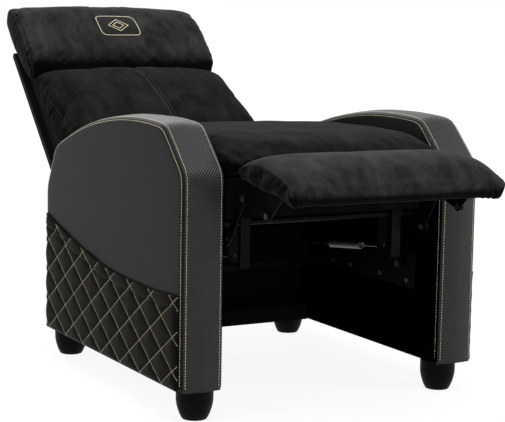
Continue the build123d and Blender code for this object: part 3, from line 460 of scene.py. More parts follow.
# Pockets: quilted leatherette panels sewn to the side covers at the front, the rear and the foot.
# The top edge hangs open in a shallow curve, with a soft padded hem under it.
quilt_leatherette = leatherette("quilted_leatherette", (0.0034, 0.0032, 0.0023), 0.5, gloss=0.03)[0]
diamond_width = 0.115
diamond_height = 0.078
quilt_phase = (-0.1431, 0.2744)
pocket_low = 0.0745
pocket_ends = (-0.3985, 0.3985)
top_edge = (
    (-0.408, 0.2955), (-0.3, 0.2885), (-0.17, 0.289), (0.0, 0.2985), (0.16, 0.3265), (0.3, 0.357),
    (0.408, 0.3835),
)
line_tilt = atan2(diamond_height, diamond_width)
line_gap = diamond_width * sin(line_tilt)


def pocket_top(y):
    """Height of the pocket's top edge, a smooth curve through the points above."""
    ys, zs = np.array(top_edge).T
    slopes = np.gradient(zs, ys)
    k = np.clip(np.searchsorted(ys, y) - 1, 0, len(ys) - 2)
    h = ys[k + 1] - ys[k]
    t = (y - ys[k]) / h
    return ((1 + 2 * t) * (1 - t) ** 2 * zs[k] + t * (1 - t) ** 2 * h * slopes[k]
            + t * t * (3 - 2 * t) * zs[k + 1] + t * t * (t - 1) * h * slopes[k + 1])


def quilt_distance(y, z, family):
    """Distance to the nearest stitched line of one family of the quilting."""
    across = (y - quilt_phase[0]) * sin(line_tilt) - family * (z - quilt_phase[1]) * cos(line_tilt)
    return np.abs((across / line_gap + 0.5) % 1 - 0.5) * line_gap


def pocket_depth(y, z):
    """How far the pocket's face stands out, in metres of x."""
    base_x, thickness, puff_depth, hem_depth, hem_height = 0.4008, 0.0035, 0.006, 0.0026, 0.029
    top = pocket_top(y)
    near = np.minimum(quilt_distance(y, z, 1), quilt_distance(y, z, -1))
    puff = puff_depth * (1 - np.exp(-near / 0.01))
    hem = hem_depth * bell(top - z - hem_height, 0.0045)
    edge = np.minimum(np.minimum(y - pocket_ends[0], pocket_ends[1] - y), z - pocket_low)
    seam = 1 - np.exp(-np.maximum(edge, 0) / 0.006)
    rolled = thickness * (1 - np.sqrt(1 - (1 - ramp(top - z, 0.007)) ** 2))
    return base_x + thickness * seam + puff * seam - hem * seam - rolled


across_count, up_count = 360, 150
for side, hand in hands:
    ys = np.linspace(*pocket_ends, across_count)
    points = []
    for row in range(up_count):
        share = row / (up_count - 1)
        zs = pocket_low + (pocket_top(ys) - pocket_low) * share
        xs = pocket_depth(ys, zs)
        points += [(side * x, arm_middle_y + y, z) for x, y, z in zip(xs, ys, zs)]
    for back_x, row_share in ((0.404, 1.0), (0.4026, 0.985), (0.4022, 0.93)):
        zs = pocket_low + (pocket_top(ys) - pocket_low) * row_share
        points += [(side * back_x, arm_middle_y + y, z) for y, z in zip(ys, zs)]
    faces = grid_faces(up_count + 3, across_count, flip=side < 0)
    pocket = new_piece(f"pocket_{hand}", points, faces, quilt_leatherette, "base")
    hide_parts(f"side_pocket_{hand}")

# Topstitching: pale gold thread, in rows along the arm's seams and in the diamonds of the pockets.
# One Geometry Nodes tree lays small twisted stitches along each row.
def spun_thread(name, dark, pale, roughness):
    """Twisted thread, darker and paler by strands."""
    made, tree, out = new_material(name)
    strands = speckle(tree, object_place(tree), 900, 2)
    shaded(tree, out, between(tree, strands, dark, pale), roughness, bump_from(tree, strands, 0.0002, 0.5))
    return made


thread = spun_thread("gold_thread", (0.6, 0.51, 0.34), (0.9, 0.81, 0.61), 0.55)
stitch_tree = bpy.data.node_groups.new("stitch_rows", "GeometryNodeTree")
new_sockets(stitch_tree, "INPUT", "Geometry", "Geometry")
new_sockets(stitch_tree, "INPUT", "Float", "Pitch", "Stitch length", "Thread radius")
new_sockets(stitch_tree, "INPUT", "Material", "Thread")
new_sockets(stitch_tree, "OUTPUT", "Geometry", "Geometry")
given = stitch_tree.nodes.new("NodeGroupInput")
result = stitch_tree.nodes.new("NodeGroupOutput")
rows = add_node(stitch_tree, "GeometryNodeMeshToCurve", {"Mesh": given.outputs["Geometry"]})
spots = add_node(stitch_tree, "GeometryNodeResampleCurve", {
    "Curve": rows, "Length": given.outputs["Pitch"],
}, mode="LENGTH")
ball = add_node(stitch_tree, "GeometryNodeMeshUVSphere", {"Segments": 6, "Rings": 5, "Radius": 1.0})
half_length = math_node(stitch_tree, "MULTIPLY", given.outputs["Stitch length"], 0.5)
thread_radius = given.outputs["Thread radius"]
size = add_node(stitch_tree, "ShaderNodeCombineXYZ", {0: thread_radius, 1: thread_radius, 2: half_length})
heading = add_node(stitch_tree, "GeometryNodeInputTangent")
turn = add_node(stitch_tree, "FunctionNodeAlignRotationToVector", {"Vector": heading}, axis="Z")
placed = add_node(stitch_tree, "GeometryNodeInstanceOnPoints", {
    "Points": spots, "Instance": ball.outputs["Mesh"], "Rotation": turn, "Scale": size,
})
real = add_node(stitch_tree, "GeometryNodeRealizeInstances", {"Geometry": placed})
smooth = add_node(stitch_tree, "GeometryNodeSetShadeSmooth", {"Geometry": real})
finish = add_node(stitch_tree, "GeometryNodeSetMaterial", {
    "Geometry": smooth, "Material": given.outputs["Thread"],
})
stitch_tree.links.new(finish.outputs[0], result.inputs[0])


def worked_in(made):
    """The piece with its modifiers worked into its mesh."""
    evaluated = made.evaluated_get(bpy.context.evaluated_depsgraph_get())
    final = bpy.data.meshes.new_from_object(evaluated)
    made.modifiers.clear()
    made.data = final


def stitch_rows(
    name, rows, body, pitch=0.0068, length=0.0053, radius=0.00068, material=thread,
):
    """Rows of stitches: each row is a list of points on the cloth."""
    points, edges = [], []
    for row in rows:
        start = len(points)
        points += [tuple(map(float, p)) for p in row]
        edges += [(start + k, start + k + 1) for k in range(len(row) - 1)]
    mesh = bpy.data.meshes.new(name + "_rows")
    mesh.from_pydata(points, edges, [])
    made = new_object(name, mesh)
    modifier = made.modifiers.new("stitches", "NODES")
    modifier.node_group = stitch_tree
    values = {"Pitch": pitch, "Stitch length": length, "Thread radius": radius, "Thread": material}
    for item in stitch_tree.interface.items_tree:
        if item.in_out == "INPUT" and item.name in values:
            modifier[item.identifier] = values[item.name]
    worked_in(made)
    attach(made, body)


margin = 0.002
for side, hand in hands:
    rows = []
    for x, out_by in ((0.3885, 0.0006), (0.304, 0.0009)):
        rows.append([(side * x, *band_point(i, x, out_by)[1:]) for i in range(2, len(arm_line) - 2, 2)])
    for inset, x in ((0.0075, 0.3987), (0.0085, 0.2941)):
        inner_line = arm_line - arm_normals * inset
        rows.append([(side * x, arm_middle_y + y, z) for y, z in inner_line[3:-3:2]])
    stitch_rows(f"seam_stitches_{hand}", rows, "base")
    rows = []
    for family in (1, -1):
        along = np.array((cos(line_tilt), family * sin(line_tilt)))
        normal = np.array((sin(line_tilt), -family * cos(line_tilt)))
        for number in range(-14, 15):
            start = np.array(quilt_phase) + normal * line_gap * number
            row = []
            for step in np.arange(-0.9, 0.9, 0.004):
                y, z = start + along * step
                between_ends = pocket_ends[0] + margin < y < pocket_ends[1] - margin
                if between_ends and pocket_low + margin < z < pocket_top(y) - 2 * margin:
                    row.append((side * (pocket_depth(y, z) + 0.0005), arm_middle_y + y, z))
            if len(row) > 3:
                rows.append(row)
    stitch_rows(f"quilt_stitches_{hand}", rows, "base", pitch=0.0052, length=0.0044, radius=0.0006)

# Feet: turned hard plastic with a satin skin, bolted up into the arm frames.
# The mould leaves fine turning rings and a softly worn edge near the floor.
foot_plastic, tree, out = new_material("satin_plastic")
where = object_place(tree)
turned = speckle(tree, where, 160, 3)
scuffed = ranged(tree, upward(tree, where), (0.0, 0.02), (1.0, 0.0))
scuffs = math_node(tree, "MULTIPLY", scuffed, turned)
colour = between(tree, scuffs, (0.0012, 0.0012, 0.0013), (0.007, 0.007, 0.0073))
rough = ranged(tree, turned, (0.3, 0.7), (0.46, 0.56))
bump = bump_from(tree, turned, 0.0002, 0.3)
shaded(tree, out, colour, rough, bump, {"Specular IOR Level": 0.06})


def finish_nodes(material, *names):
    """Give CAD pieces their finish."""
    for name in names:
        for place in nodes[name].material_slots:
            place.material = material


finish_nodes(foot_plastic, "foot_front_left", "foot_rear_left", "foot_front_right", "foot_rear_right")

# Steelwork: pressed plates, tubes and flat bars in black powder coat, with fine orange peel.
# The coat is rubbed a little thinner and shinier in patches.
black_steel, tree, out = new_material("black_powder_coat")
where = object_place(tree)
peel = speckle(tree, where, 650, 2)
rubbed = speckle(tree, where, 24, 6, 0.65)
rubs = ranged(tree, rubbed, (0.55, 0.72), (0.0, 1.0))
colour = between(tree, rubs, (0.0014, 0.0014, 0.0015), (0.005, 0.005, 0.0053))
rough = ranged(tree, rubs, (0.0, 1.0), (0.5, 0.34))
bump = bump_from(tree, peel, 0.00012, 0.5)
shaded(tree, out, colour, rough, bump, {"Specular IOR Level": 0.05})
finish_nodes(
    black_steel, "base_rail_left", "base_rail_right", "base_cross_bar", "swing_arms_front", "swing_arms_rear",
    "seat_plate_left", "seat_plate_right", "seat_cross_tube", "spring_straps", "lift_links", "reach_links",
    "footrest_brackets", "back_brackets",
)

# Rivets, pins, screws and bolts: zinc-plated steel, faintly spangled and dulled by handling.
# Each holds the steelwork to its neighbour or to the timber.
zinc, tree, out = new_material("zinc_plate")
where = object_place(tree)
spangle = add_node(tree, "ShaderNodeTexVoronoi", {"Vector": where, "Scale": 420})
dulled = speckle(tree, where, 60, 4)
colour = between(tree, spangle, (0.16, 0.16, 0.164), (0.08, 0.08, 0.082))
rough = ranged(tree, dulled, (0.3, 0.7), (0.34, 0.58))
bump = bump_from(tree, dulled, 0.0001, 0.3)
shaded(tree, out, colour, rough, bump, {"Metallic": 1.0})
finish_nodes(
    zinc, "foot_bolts", "base_bolts", "base_pivot_pins", "swing_rivets_front", "swing_rivets_rear",
    "seat_plate_screws", "lift_pivot_rivets", "elbow_rivets", "footrest_rivets", "footrest_screws",
    "back_bracket_bolts", "back_hinge_pins",
)

# Springs: hard-drawn wire, grey and oily, in the zigzag springs and the two coiled ones.
# The coiled ones hook through the straps under the seat and the lugs of the cross bar.
spring_wire, tree, out = new_material("spring_wire")
where = object_place(tree)
drawn_marks = speckle(tree, where, 300, 3)
oily = speckle(tree, where, 18, 4)
colour = between(tree, oily, (0.1, 0.1, 0.104), (0.25, 0.247, 0.238))
rough = ranged(tree, oily, (0.3, 0.7), (0.24, 0.42))
bump = bump_from(tree, drawn_marks, 0.0001, 0.3)
shaded(tree, out, colour, rough, bump, {"Metallic": 1.0})
finish_nodes(spring_wire, "tension_springs", "seat_springs", "back_springs")

# Backing cloth: black woven polyester, stapled over the rear board, the posts and the rear panel.
# The same cloth wraps the rails of the seat box and closes the undersides of the arms and the footrest.
backing, tree, out = new_material("black_backing_cloth")
where = object_place(tree)
warp = bands(tree, where, 260, "X")
weft_map = add_node(tree, "ShaderNodeMapping", {"Vector": where, "Rotation": (radians(45), 0, 0)})
weft = bands(tree, weft_map, 260, "Y")
cloth_weave = math_node(tree, "MULTIPLY", warp, weft)
faded = speckle(tree, where, 11, 5)
colour = between(tree, cloth_weave, (0.0008, 0.0008, 0.0009), (0.003, 0.003, 0.0032))
shade = ranged(tree, faded, (0.3, 0.7), (0.8, 1.2))
colour = times(tree, colour, shade)
bump = bump_from(tree, cloth_weave, 0.0003, 0.6)
shaded(tree, out, colour, 0.85, bump, {
    "Specular IOR Level": 0.08, "Sheen Weight": 0.04, "Sheen Roughness": 0.5,
})
finish_nodes(
    backing, "arm_frame_left", "arm_frame_right", "seat_side_rails", "seat_front_rail", "seat_rear_rail",
    "rear_panel", "rear_rail", "back_board", "back_post_left", "back_post_right", "back_rails",
    "footrest_board",
)

# Cushions: velvet over foam. Each starts as a lofted form, slightly small, and is blown up as cloth.
# The velvet is nearly black, with paler and darker patches where its pile has been brushed. A darker copy of
# it on the seat, the lower back cushion and the tuck-in is painted shade. Faces that turn away from straight
# up are painted darker, sides and undersides most, as painted shade.
velvet, tree, out = new_material("black_velvet")
where = object_place(tree)
brushed = speckle(tree, where, 9, 5, 0.62, 0.6)
stroke_map = add_node(tree, "ShaderNodeMapping", {"Vector": where, "Scale": (38, 14, 14)})
strokes = speckle(tree, stroke_map, 1.0, 4, 0.6)
pile = speckle(tree, where, 1500, 2)
patches = math_node(tree, "ADD", brushed, strokes)
shade = ranged(tree, patches, (0.75, 1.25), (0.0, 1.0))
colour = between(tree, shade, (0.01, 0.01, 0.0102), (0.034, 0.034, 0.0346))
colour.name = "pile tones"
# Painted shade: faces turned away from straight up are darkened, to under a tenth on sides and undersides.
normal = add_node(tree, "ShaderNodeTexCoord").outputs["Normal"]
painted_facing_shade = ranged(tree, upward(tree, normal), (-0.05, 0.55), (0.08, 1.0))
colour = times(tree, colour, painted_facing_shade)
fuzz = ranged(tree, pile, (0.3, 0.7), (0.75, 1.25))
colour = times(tree, colour, fuzz)
pile_height = math_node(tree, "MULTIPLY_ADD", strokes, 0.5, pile)
bump = bump_from(tree, pile_height, 0.0006, 0.5)
shaded(tree, out, colour, 0.92, bump, {
    "Specular IOR Level": 0.04, "Sheen Weight": 0.06, "Sheen Roughness": 0.35,
})

# Painted shade: a darker copy of the velvet, with less sheen and gloss, for the seat, the lower back cushion
# and the tuck-in.
painted_shade_velvet = velvet.copy()
painted_shade_velvet.name = "painted_shade_velvet"
painted_shade_tones = painted_shade_velvet.node_tree.nodes["pile tones"]
painted_shade_tones.inputs[1].default_value = (0.0042, 0.0042, 0.0043, 1)
painted_shade_tones.inputs[2].default_value = (0.0152, 0.0152, 0.0155, 1)
painted_shade_shader = [node for node in painted_shade_velvet.node_tree.nodes if node.type == "BSDF_PRINCIPLED"][0]
painted_shade_shader.inputs["Sheen Weight"].default_value = 0.02
painted_shade_shader.inputs["Specular IOR Level"].default_value = 0.03


def chaikin(points, rounds=3, cut=0.25):
    """The closed outline with its corners cut round."""
    points = np.array(points, float)
    for _ in range(rounds):
        run = np.roll(points, -1, 0) - points
        points = np.stack([points + run * cut, points + run * (1 - cut)], 1).reshape(-1, 2)
    return points


def cushion_form(name, to_frame, half, outline, base_of, end_share, material):
    """A closed cushion lofted across x: outline is its middle section, drawn towards base_of at the ends."""
    end_start, end_inset = 0.96, 0.012
    section = even_points(chaikin(outline), 120, closed=True)
    stations = np.r_[-1, -0.985, np.linspace(-end_start, end_start, 29), 0.985, 1]
    middle = section[:, 0].mean()
    points = []
    for station in stations:
        crown_share = 1 - (1 - end_share) * (0.22 * station ** 2 + 0.78 * abs(station) ** 18)
        end_draw = end_inset * max(0.0, abs(station) - end_start) / 0.04
        for along, out_by in section:
            base = base_of(along)
            along_in = middle + (along - middle) * (1 - end_draw)
            points.append(to_frame(station * half, along_in, base + (out_by - base) * crown_share))
    columns = len(section)
    faces = grid_faces(len(stations), columns, wrap=True)
    first, last = end_caps(points, columns)
    faces += [first, last[::-1]]
    made = new_piece(name, points, faces, material, None)
    corner = [Vector(points[k]) for k in faces[0]]
    face_normal = (corner[1] - corner[0]).cross(corner[2] - corner[1])
    centre = sum((Vector(p) for p in points[:columns]), Vector()) / columns
    if face_normal.dot(corner[0] - centre) < 0:
        made.data.flip_normals()
    return made


def read_rows(items, attribute="co"):
    """Three numbers for each point of a mesh, as an array."""
    values = np.empty(len(items) * 3)
    items.foreach_get(attribute, values)
    return values.reshape(-1, 3)


def blown(made, voxel, cap, held, slack=0.012):
    """Remesh the form and blow it up as cloth. held gives 0 to 1 for a point's place: 1 stays where it is."""
    bpy.context.view_layer.objects.active = made
    made.data.remesh_voxel_size = voxel
    made.data.use_remesh_fix_poles = False
    bpy.ops.object.voxel_remesh()
    mesh = made.data
    start = read_rows(mesh.vertices)
    cloth = made.modifiers.new("cloth", "CLOTH")
    settings = cloth.settings
    for name, value in (
        ("quality", 4), ("mass", 0.3), ("tension_stiffness", 18), ("compression_stiffness", 12),
        ("shear_stiffness", 8), ("bending_stiffness", 1.2), ("use_pressure", True),
        ("uniform_pressure_force", 2.0), ("shrink_min", -slack),
    ):
        setattr(settings, name, value)
    settings.effector_weights.gravity = 0
    cloth.collision_settings.use_collision = False
    group = made.vertex_groups.new(name="held")
    weights = np.round(held(start), 1)
    for level in np.unique(weights):
        chosen = np.nonzero(weights == level)[0]
        if level > 0:
            group.add([int(k) for k in chosen], float(level), "REPLACE")
    settings.vertex_group_mass = "held"
    scene = bpy.context.scene
    frames = 14
    cloth.point_cache.frame_start, cloth.point_cache.frame_end = 1, frames
    for number in range(1, frames + 1):
        scene.frame_set(number)
    evaluated = made.evaluated_get(bpy.context.evaluated_depsgraph_get())
    end = read_rows(evaluated.data.vertices)
    made.modifiers.clear()
    scene.frame_set(1)
    move = end - start
    size = np.linalg.norm(move, axis=1)
    move *= np.minimum(1, cap / np.maximum(size, 1e-9))[:, None]
    mesh.vertices.foreach_set("co", (start + move).ravel())
    mesh.update()
    mesh.shade_smooth()


def reshape(made, change):
    """Move the piece's points by a function of all their places and normals."""
    mesh = made.data
    places, normals = read_rows(mesh.vertices), read_rows(mesh.vertex_normals, "vector")
    mesh.vertices.foreach_set("co", change(places, normals).ravel())
    mesh.update()


def subdivided(made):
    """One level of subdivision, applied."""
    modifier = made.modifiers.new("rounder", "SUBSURF")
    modifier.levels = modifier.render_levels = 1
    worked_in(made)
    made.data.shade_smooth()


def ripples(places, spacing, seed):
    """A smooth random value from -1 to 1 at each place."""
    return np.array([noise.noise(Vector(p / spacing) + Vector((seed, 0, 0))) for p in places])


# Seat cushion: a deep velvet pad with a rounded nose, highest along its middle.
# It lies on the springs of the seat box, and its velvet is gathered a little at the front corners.
def seat_frame(x, y, z):
    return (x, arm_middle_y + y, z)


seat_low = 0.5455
seat_outline = [(y, seat_low + rise) for y, rise in (
    (0.258, 0), (-0.405, 0), (-0.422, 0.045), (-0.388, 0.072), (-0.3, 0.087), (-0.18, 0.091),
    (0.06, 0.085), (0.258, 0.072),
)]
# The seat wears the darker copy of the velvet, as painted shade.
seat = cushion_form("seat_pad", seat_frame, 0.282, seat_outline, lambda y: seat_low, 0.8, painted_shade_velvet)
blown(seat, 0.007, 0.008, lambda places: ramp(0.556 - places[:, 2], 0.008))


def seat_folds(places, normals):
    """Slanted gathers at both front corners and a soft unevenness on top."""
    y = places[:, 1] - arm_middle_y
    inwards, height = -np.abs(places[:, 0]), places[:, 2]
    corner = bell(0.283 + inwards, 0.13) * bell(y + 0.42, 0.07)
    slanted = np.stack([0.5 * inwards + 0.87 * height, (0.87 * inwards - 0.5 * height) * 0.22, 0.3 * y], 1)
    fold = ripples(slanted, 0.014, 3.0) * 0.005 * corner
    soft = ripples(places, 0.09, 8.0) * 0.0022
    fold = fold + soft * ramp(height - 0.57, 0.03)
    return places + normals * fold[:, None]


subdivided(seat)
reshape(seat, seat_folds)
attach(seat, "seat")
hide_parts("seat_cushion")


def slanted_plane(origin_y, origin_z, angle, side):
    """Ways from a slanted plane to the frame and back. The second coordinate stands out on the given side."""
    along_y, along_z = cos(angle), sin(angle)

    def to_frame(x, along, out_by):
        y = origin_y + along * along_y - side * out_by * along_z
        return (x, y, origin_z + along * along_z + side * out_by * along_y)

    def from_frame(places):
        dy, dz = places[:, 1] - origin_y, places[:, 2] - origin_z
        return dy * along_y + dz * along_z, side * (dz * along_y - dy * along_z)

    return to_frame, from_frame


# Back cushions: the lower one and the head cushion, sewn to the backrest along a deep crease.
# Both are drawn in the plane of the rear board: s runs up the board and n stands out of it.
slope = radians(45)
back_frame, on_back = slanted_plane(0.685 + arm_middle_y, 0.474, slope, 1)


def rear_n(s):
    """Where the cushions' rear edge stands out from the board."""
    return 0.112 + (0.028 - 0.112) * (s + 0.175) / 0.69


def near_board(places):
    """1 for the cushion's points beside its rear edge, falling to 0 within a few millimetres."""
    s, n = on_back(places)
    return ramp(0.01 - np.abs(n - rear_n(s)), 0.006)


lower_outline = (
    (-0.168, rear_n(-0.168)), (0.244, rear_n(0.244)), (0.25, 0.1), (0.242, 0.142), (0.19, 0.184),
    (0.12, 0.214), (0.026, 0.246), (-0.06, 0.268), (-0.15, 0.262), (-0.17, 0.2),
)
# The lower back cushion wears the darker copy of the velvet, as painted shade.
lower = cushion_form("lower_back_pad", back_frame, 0.283, lower_outline, rear_n, 0.72, painted_shade_velvet)
blown(lower, 0.007, 0.01, near_board)
head_outline = (
    (0.2525, rear_n(0.2525)), (0.508, 0.029), (0.536, 0.074), (0.53, 0.108), (0.47, 0.145),
    (0.39, 0.16), (0.29, 0.157), (0.262, 0.128),
)
head = cushion_form("head_pad", back_frame, 0.288, head_outline, rear_n, 0.88, velvet)
blown(head, 0.0055, 0.008, near_board)

gusset_line = np.array(((-0.17, 0.25), (-0.019, 0.196), (0.053, 0.166), (0.133, 0.138), (0.238, 0.103)))
head_gusset_line = np.array(((0.258, 0.091), (0.33, 0.128), (0.4575, 0.129), (0.53, 0.1)))


def line_distance(s, n, line):
    """Signed distance, n side positive, from points to a line of straight runs."""
    best = np.full(len(s), 9.0)
    signed = np.full(len(s), 9.0)
    for (s0, n0), (s1, n1) in zip(line[:-1], line[1:]):
        run = np.array((s1 - s0, n1 - n0))
        length = np.linalg.norm(run)
        run /= length
        at = np.clip((s - s0) * run[0] + (n - n0) * run[1], 0, length)
        gap = np.hypot(s - s0 - run[0] * at, n - n0 - run[1] * at)
        sign = np.sign((n - n0) * run[0] - (s - s0) * run[1])
        closer = gap < best
        best = np.where(closer, gap, best)
        signed = np.where(closer, gap * sign, signed)
    return signed


def back_folds(line, seed):
    """Gathers along the side seam, a groove down the middle and puckers by the crease."""
    groove_depth, crease_s = 0.0045, 0.251

    def change(places, normals):
        s, n = on_back(places)
        distance = line_distance(s, n, line)
        on_side = ramp(np.abs(places[:, 0]) - 0.245, 0.012)
        groove = -groove_depth * bell(distance, 0.0045) * on_side
        stretched = np.stack([places[:, 0] * 0.3, s, n * 0.12], 1)
        fine = ripples(stretched, 0.012, seed) * 0.0024
        coarse = ripples(stretched * 0.6 + 3, 0.012, seed + 20) * 0.0016
        gather = (fine + coarse) * np.exp(-np.abs(distance) / 0.026) * on_side
        soft = ripples(places, 0.085, seed + 5) * 0.0026
        centre = -groove_depth * bell(places[:, 0], 0.0075) * (n > rear_n(s) + 0.03) * (s < 0.245)
        crease = np.exp(-np.abs(s - crease_s) / 0.035)
        puckers = ripples(np.stack([places[:, 0], s * 0.2, n * 0.2], 1), 0.024, seed + 9) * 0.0024 * crease
        return places + normals * (groove + gather + soft + centre + puckers)[:, None]

    return change


for pad, line, node, seed in (
    (lower, gusset_line, "lower_back_cushion", 2.0),
    (head, head_gusset_line, "head_cushion", 4.0),
):
    subdivided(pad)
    reshape(pad, back_folds(line, seed))
    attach(pad, "backrest")
    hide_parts(node)

# Seams of the back cushions: tight rows in charcoal thread, two down the middle of the lower cushion
# and one along each side panel, where the velvet is gathered.
charcoal = spun_thread("charcoal_thread", (0.02, 0.019, 0.017), (0.06, 0.057, 0.05), 0.6)


def surface_of(piece):
    """A tree of the piece's faces, for rows of stitches that lie on it."""
    points = [vertex.co.copy() for vertex in piece.data.vertices]
    return BVHTree.FromPolygons(points, [tuple(face.vertices) for face in piece.data.polygons])


def laid_on(surface, starts, direction, lift=0.0003):
    """Where lines from the starts first meet a surface, lifted a little off it."""
    row = []
    for start in starts:
        place, normal, _, _ = surface.ray_cast(Vector(start), Vector(direction))
        if place is not None:
            row.append(tuple(place - Vector(direction) * lift))
    return row


into_back = (0.0, sin(slope), -cos(slope))
lower_surface, head_surface = surface_of(lower), surface_of(head)
rows = []
for x in (-0.0055, 0.0055):
    above = [back_frame(x, s, 0.42) for s in np.linspace(0.225, -0.15, 90)]
    rows.append(laid_on(lower_surface, above, into_back))
for side in (-1, 1):
    for cloth, line in ((lower_surface, gusset_line), (head_surface, head_gusset_line)):
        path = even_points(softened(even_points(line, 60), 0.012), 80)[2:-2]
        rows.append(laid_on(cloth, [back_frame(side * 0.4, s, n + 0.004) for s, n in path], (-side, 0, 0)))
stitch_rows(
    "back_seam_stitches", rows, "backrest", pitch=0.0052, length=0.0042, radius=0.0006,
    material=charcoal,
)

# Head patch: a bare leatherette patch, sewn to the head cushion with a corded gold border.
# A plain diamond in the same cord echoes the quilting of the pockets.
patch_centre = (0.0, 0.3975)
patch_half = (0.066, 0.046)
patch_corner = 0.02
loop_count = 120


def patch_loop(share):
    """A rounded rectangle in x and s, drawn in by share."""
    loop = []
    for t in np.linspace(0, 2 * pi, loop_count, endpoint=False):
        steps = []
        for half, toward in zip(patch_half, (cos(t), sin(t))):
            flat = (half - patch_corner) * np.sign(toward) * min(1, abs(toward) * 3)
            steps.append(flat + patch_corner * toward)
        loop.append((patch_centre[0] + share * steps[0], patch_centre[1] + share * steps[1]))
    return loop


def on_head(loop, lift):
    """A line of the board's plane laid on the front of the head cushion."""
    return laid_on(head_surface, [back_frame(x, s, 0.3) for x, s in loop], into_back, lift)


points = []
shares = (1.0, 0.995, 0.97, 0.9, 0.75, 0.5, 0.25)
for share, lift in zip(shares, (-0.0006, 0.0006, 0.0012, 0.0014, 0.0015, 0.0015, 0.0015)):
    points += on_head(patch_loop(share), lift)
points += on_head([patch_centre], 0.0015)
faces = grid_faces(len(shares), loop_count, wrap=True)
faces += fan((len(shares) - 1) * loop_count, loop_count, len(points) - 1)
patch = new_piece("head_patch", points, faces, side_leatherette, "backrest")
border = even_points(patch_loop(0.955), 200, closed=True)
border = np.vstack([border, border[:2]])
rows = [on_head(border, 0.0017)]
for reach in (1.0, 0.55):
    corners = [(0.032 * reach, 0), (0, 0.026 * reach), (-0.032 * reach, 0), (0, -0.026 * reach)]
    diamond = even_points([(patch_centre[0] + x, patch_centre[1] + s) for x, s in corners], 80, closed=True)
    diamond = np.vstack([diamond, diamond[:2]])
    rows.append(on_head(diamond, 0.0019))
stitch_rows("patch_cord", rows, "backrest", pitch=0.0026, length=0.0046, radius=0.0011)

# Footrest pad: velvet over foam, wrapped round the edges of its board.
# u runs forwards along the board's underside and v up out of it.
rest_frame, on_rest = slanted_plane(-0.452 + arm_middle_y, 0.552, radians(187), -1)
rest_outline = (
    (-0.018, -0.006), (0.196, -0.006), (0.201, -0.014), (0.213, -0.012), (0.217, 0.014), (0.202, 0.04),
    (0.14, 0.06), (0.085, 0.065), (0.03, 0.057), (-0.018, 0.036), (-0.023, 0.01),
)
rest = cushion_form("footrest_cover", rest_frame, 0.276, rest_outline, lambda u: -0.006, 0.76, velvet)
blown(rest, 0.0055, 0.0075, lambda places: ramp(0.008 - on_rest(places)[1], 0.008), 0.01)


def rest_folds(places, normals):
    """Gathers under both ends, a soft unevenness on top, and a flat face where the board lies."""
    board_half, board_rear, board_front, board_face = 0.2625, 0.0055, 0.1965, 0.0158
    x = places[:, 0]
    corner = bell(0.285 - np.abs(x), 0.06)
    u, v = on_rest(places)
    low = bell(np.maximum(v, 0), 0.03)
    fold = ripples(places * np.array((1.0, 0.25, 0.25)), 0.011, 6.0) * 0.0064 * corner * low
    drop = 0.0045 * bell(0.262 - np.abs(x), 0.022) * bell(u - 0.195, 0.03) * low
    pucker = ripples(places * np.array((1.0, 0.1, 0.1)), 0.016, 7.0) * 0.0012 * low
    soft = ripples(places, 0.07, 1.0) * 0.0016
    moved = places + normals * (fold + pucker + soft + drop)[:, None]
    u, v = on_rest(moved)
    v = v + 0.016 * ramp(np.abs(x) - 0.262, 0.016) ** 2 * bell(np.maximum(v + 0.006, 0), 0.022)
    over_board = (np.abs(moved[:, 0]) < board_half) & (u > board_rear) & (u < board_front)
    under = over_board & (v < board_face - 0.0001)
    _, moved[:, 1], moved[:, 2] = rest_frame(0.0, u, np.where(under, board_face, v))
    return moved


subdivided(rest)
reshape(rest, rest_folds)
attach(rest, "footrest")
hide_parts("footrest_pad")

# Seat apron: a velvet panel over the front rail, stapled under the box and gathered a little by the nose.
# Its lower edge hangs free just below the rail.
apron_half, apron_top, apron_drop = 0.265, 0.544, 0.092
rows, columns = 26, 240
points = []
for layer_y, sign in ((-0.3535, 1.0), (-0.3465, 0.0)):
    for i in range(rows):
        down = i / (rows - 1)
        for j in range(columns):
            x = -apron_half + 2 * apron_half * j / (columns - 1)
            wave = noise.noise(Vector((x * 26, down * 0.8, 2.0)))
            wave += 0.5 * noise.noise(Vector((x * 70, down * 1.5, 5.0)))
            sag = 0.0022 * noise.noise(Vector((x * 9, 0, 7.0))) * down
            y = arm_middle_y + layer_y - sign * 0.0022 * wave * (0.3 + down)
            points.append((x, y, apron_top - apron_drop * down + sag))
front = grid_faces(rows, columns, flip=True)
rear = grid_faces(rows, columns, offset=rows * columns)
edge = list(range(columns)) + [(i + 1) * columns - 1 for i in range(1, rows)]
edge += [(rows - 1) * columns + k for k in range(columns - 2, -1, -1)]
edge += [i * columns for i in range(rows - 2, 0, -1)]
around = rows * columns
rim = [(a, b, b + around, a + around) for a, b in zip(edge, edge[1:] + edge[:1])]
apron = new_piece("apron", points, front + rear + rim, velvet, "seat")
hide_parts("seat_apron")

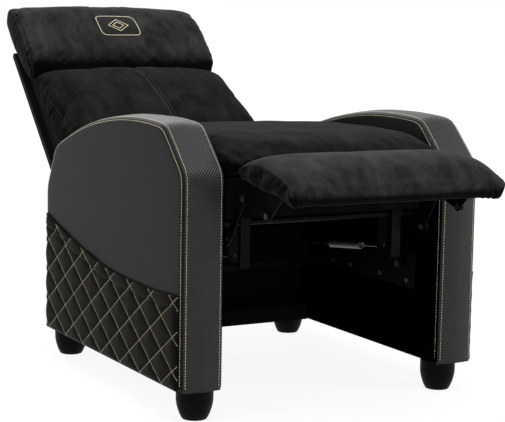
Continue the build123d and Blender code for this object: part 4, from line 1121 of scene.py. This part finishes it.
# Dust cover: thin black lining stapled under the seat box, slightly slack between the side rails.
# A flap of it hangs from the rear rail and closes the view above the rear panel.
dust_flat, flap_flat = (0.529, 0.594), (0.524, 0.173)
rows, columns = 60, 54
points = []
for i in range(rows):
    for j in range(columns):
        u, v = i / (rows - 1), j / (columns - 1)
        slack = sin(pi * u) * sin(pi * v)
        wrinkle = noise.noise(Vector((u * 9, v * 7, 1.0))) * 0.0012
        y = arm_middle_y - 0.3445 + dust_flat[1] * u
        points.append((-dust_flat[0] / 2 + dust_flat[0] * v, y, 0.4542 - slack * (0.004 + wrinkle)))
dust_cover = new_piece("dust_cover", points, grid_faces(rows, columns), backing, "seat")
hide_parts("seat_dust_cover")
rows, columns = 30, 80
flap_path = ((0.251, 0.456), (0.268, 0.452), (0.279, 0.438), (0.28, 0.3))
flap_path = softened(even_points(flap_path, rows), 0.006)
points = []
for i, (y, z) in enumerate(flap_path):
    down = i / (rows - 1)
    for j in range(columns):
        v = j / (columns - 1)
        wave = noise.noise(Vector((v * 14, down, 4.0))) * 0.005 * down
        points.append((-flap_flat[0] / 2 + flap_flat[0] * v, arm_middle_y + y + wave, z))
flap = new_piece("rear_flap", points, grid_faces(rows, columns), backing, "seat")

# Tuck-in: the roll of velvet between the seat and the lower back cushion, sewn to both.
tuck_section = chaikin((
    (0.242, 0.556), (0.385, 0.523), (0.453, 0.59), (0.447, 0.6), (0.4, 0.59),
    (0.33, 0.598), (0.242, 0.609),
), 2)
tuck_section = even_points(tuck_section, 70, closed=True)
stations = np.linspace(-0.276, 0.276, 60)
points = []
for x in stations:
    for y, z in tuck_section:
        points.append((x, arm_middle_y + y, z + 0.003 * noise.noise(Vector((x * 16, y * 12, 3.0)))))
columns = len(tuck_section)
faces = grid_faces(len(stations), columns, wrap=True)
first, last = end_caps(points, columns)
faces += [first[::-1], last]
# The tuck-in wears the darker copy of the velvet, as painted shade.
tuck = new_piece("tuck_in", points, faces, painted_shade_velvet, None)
tuck.data.flip_normals()
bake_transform(tuck)
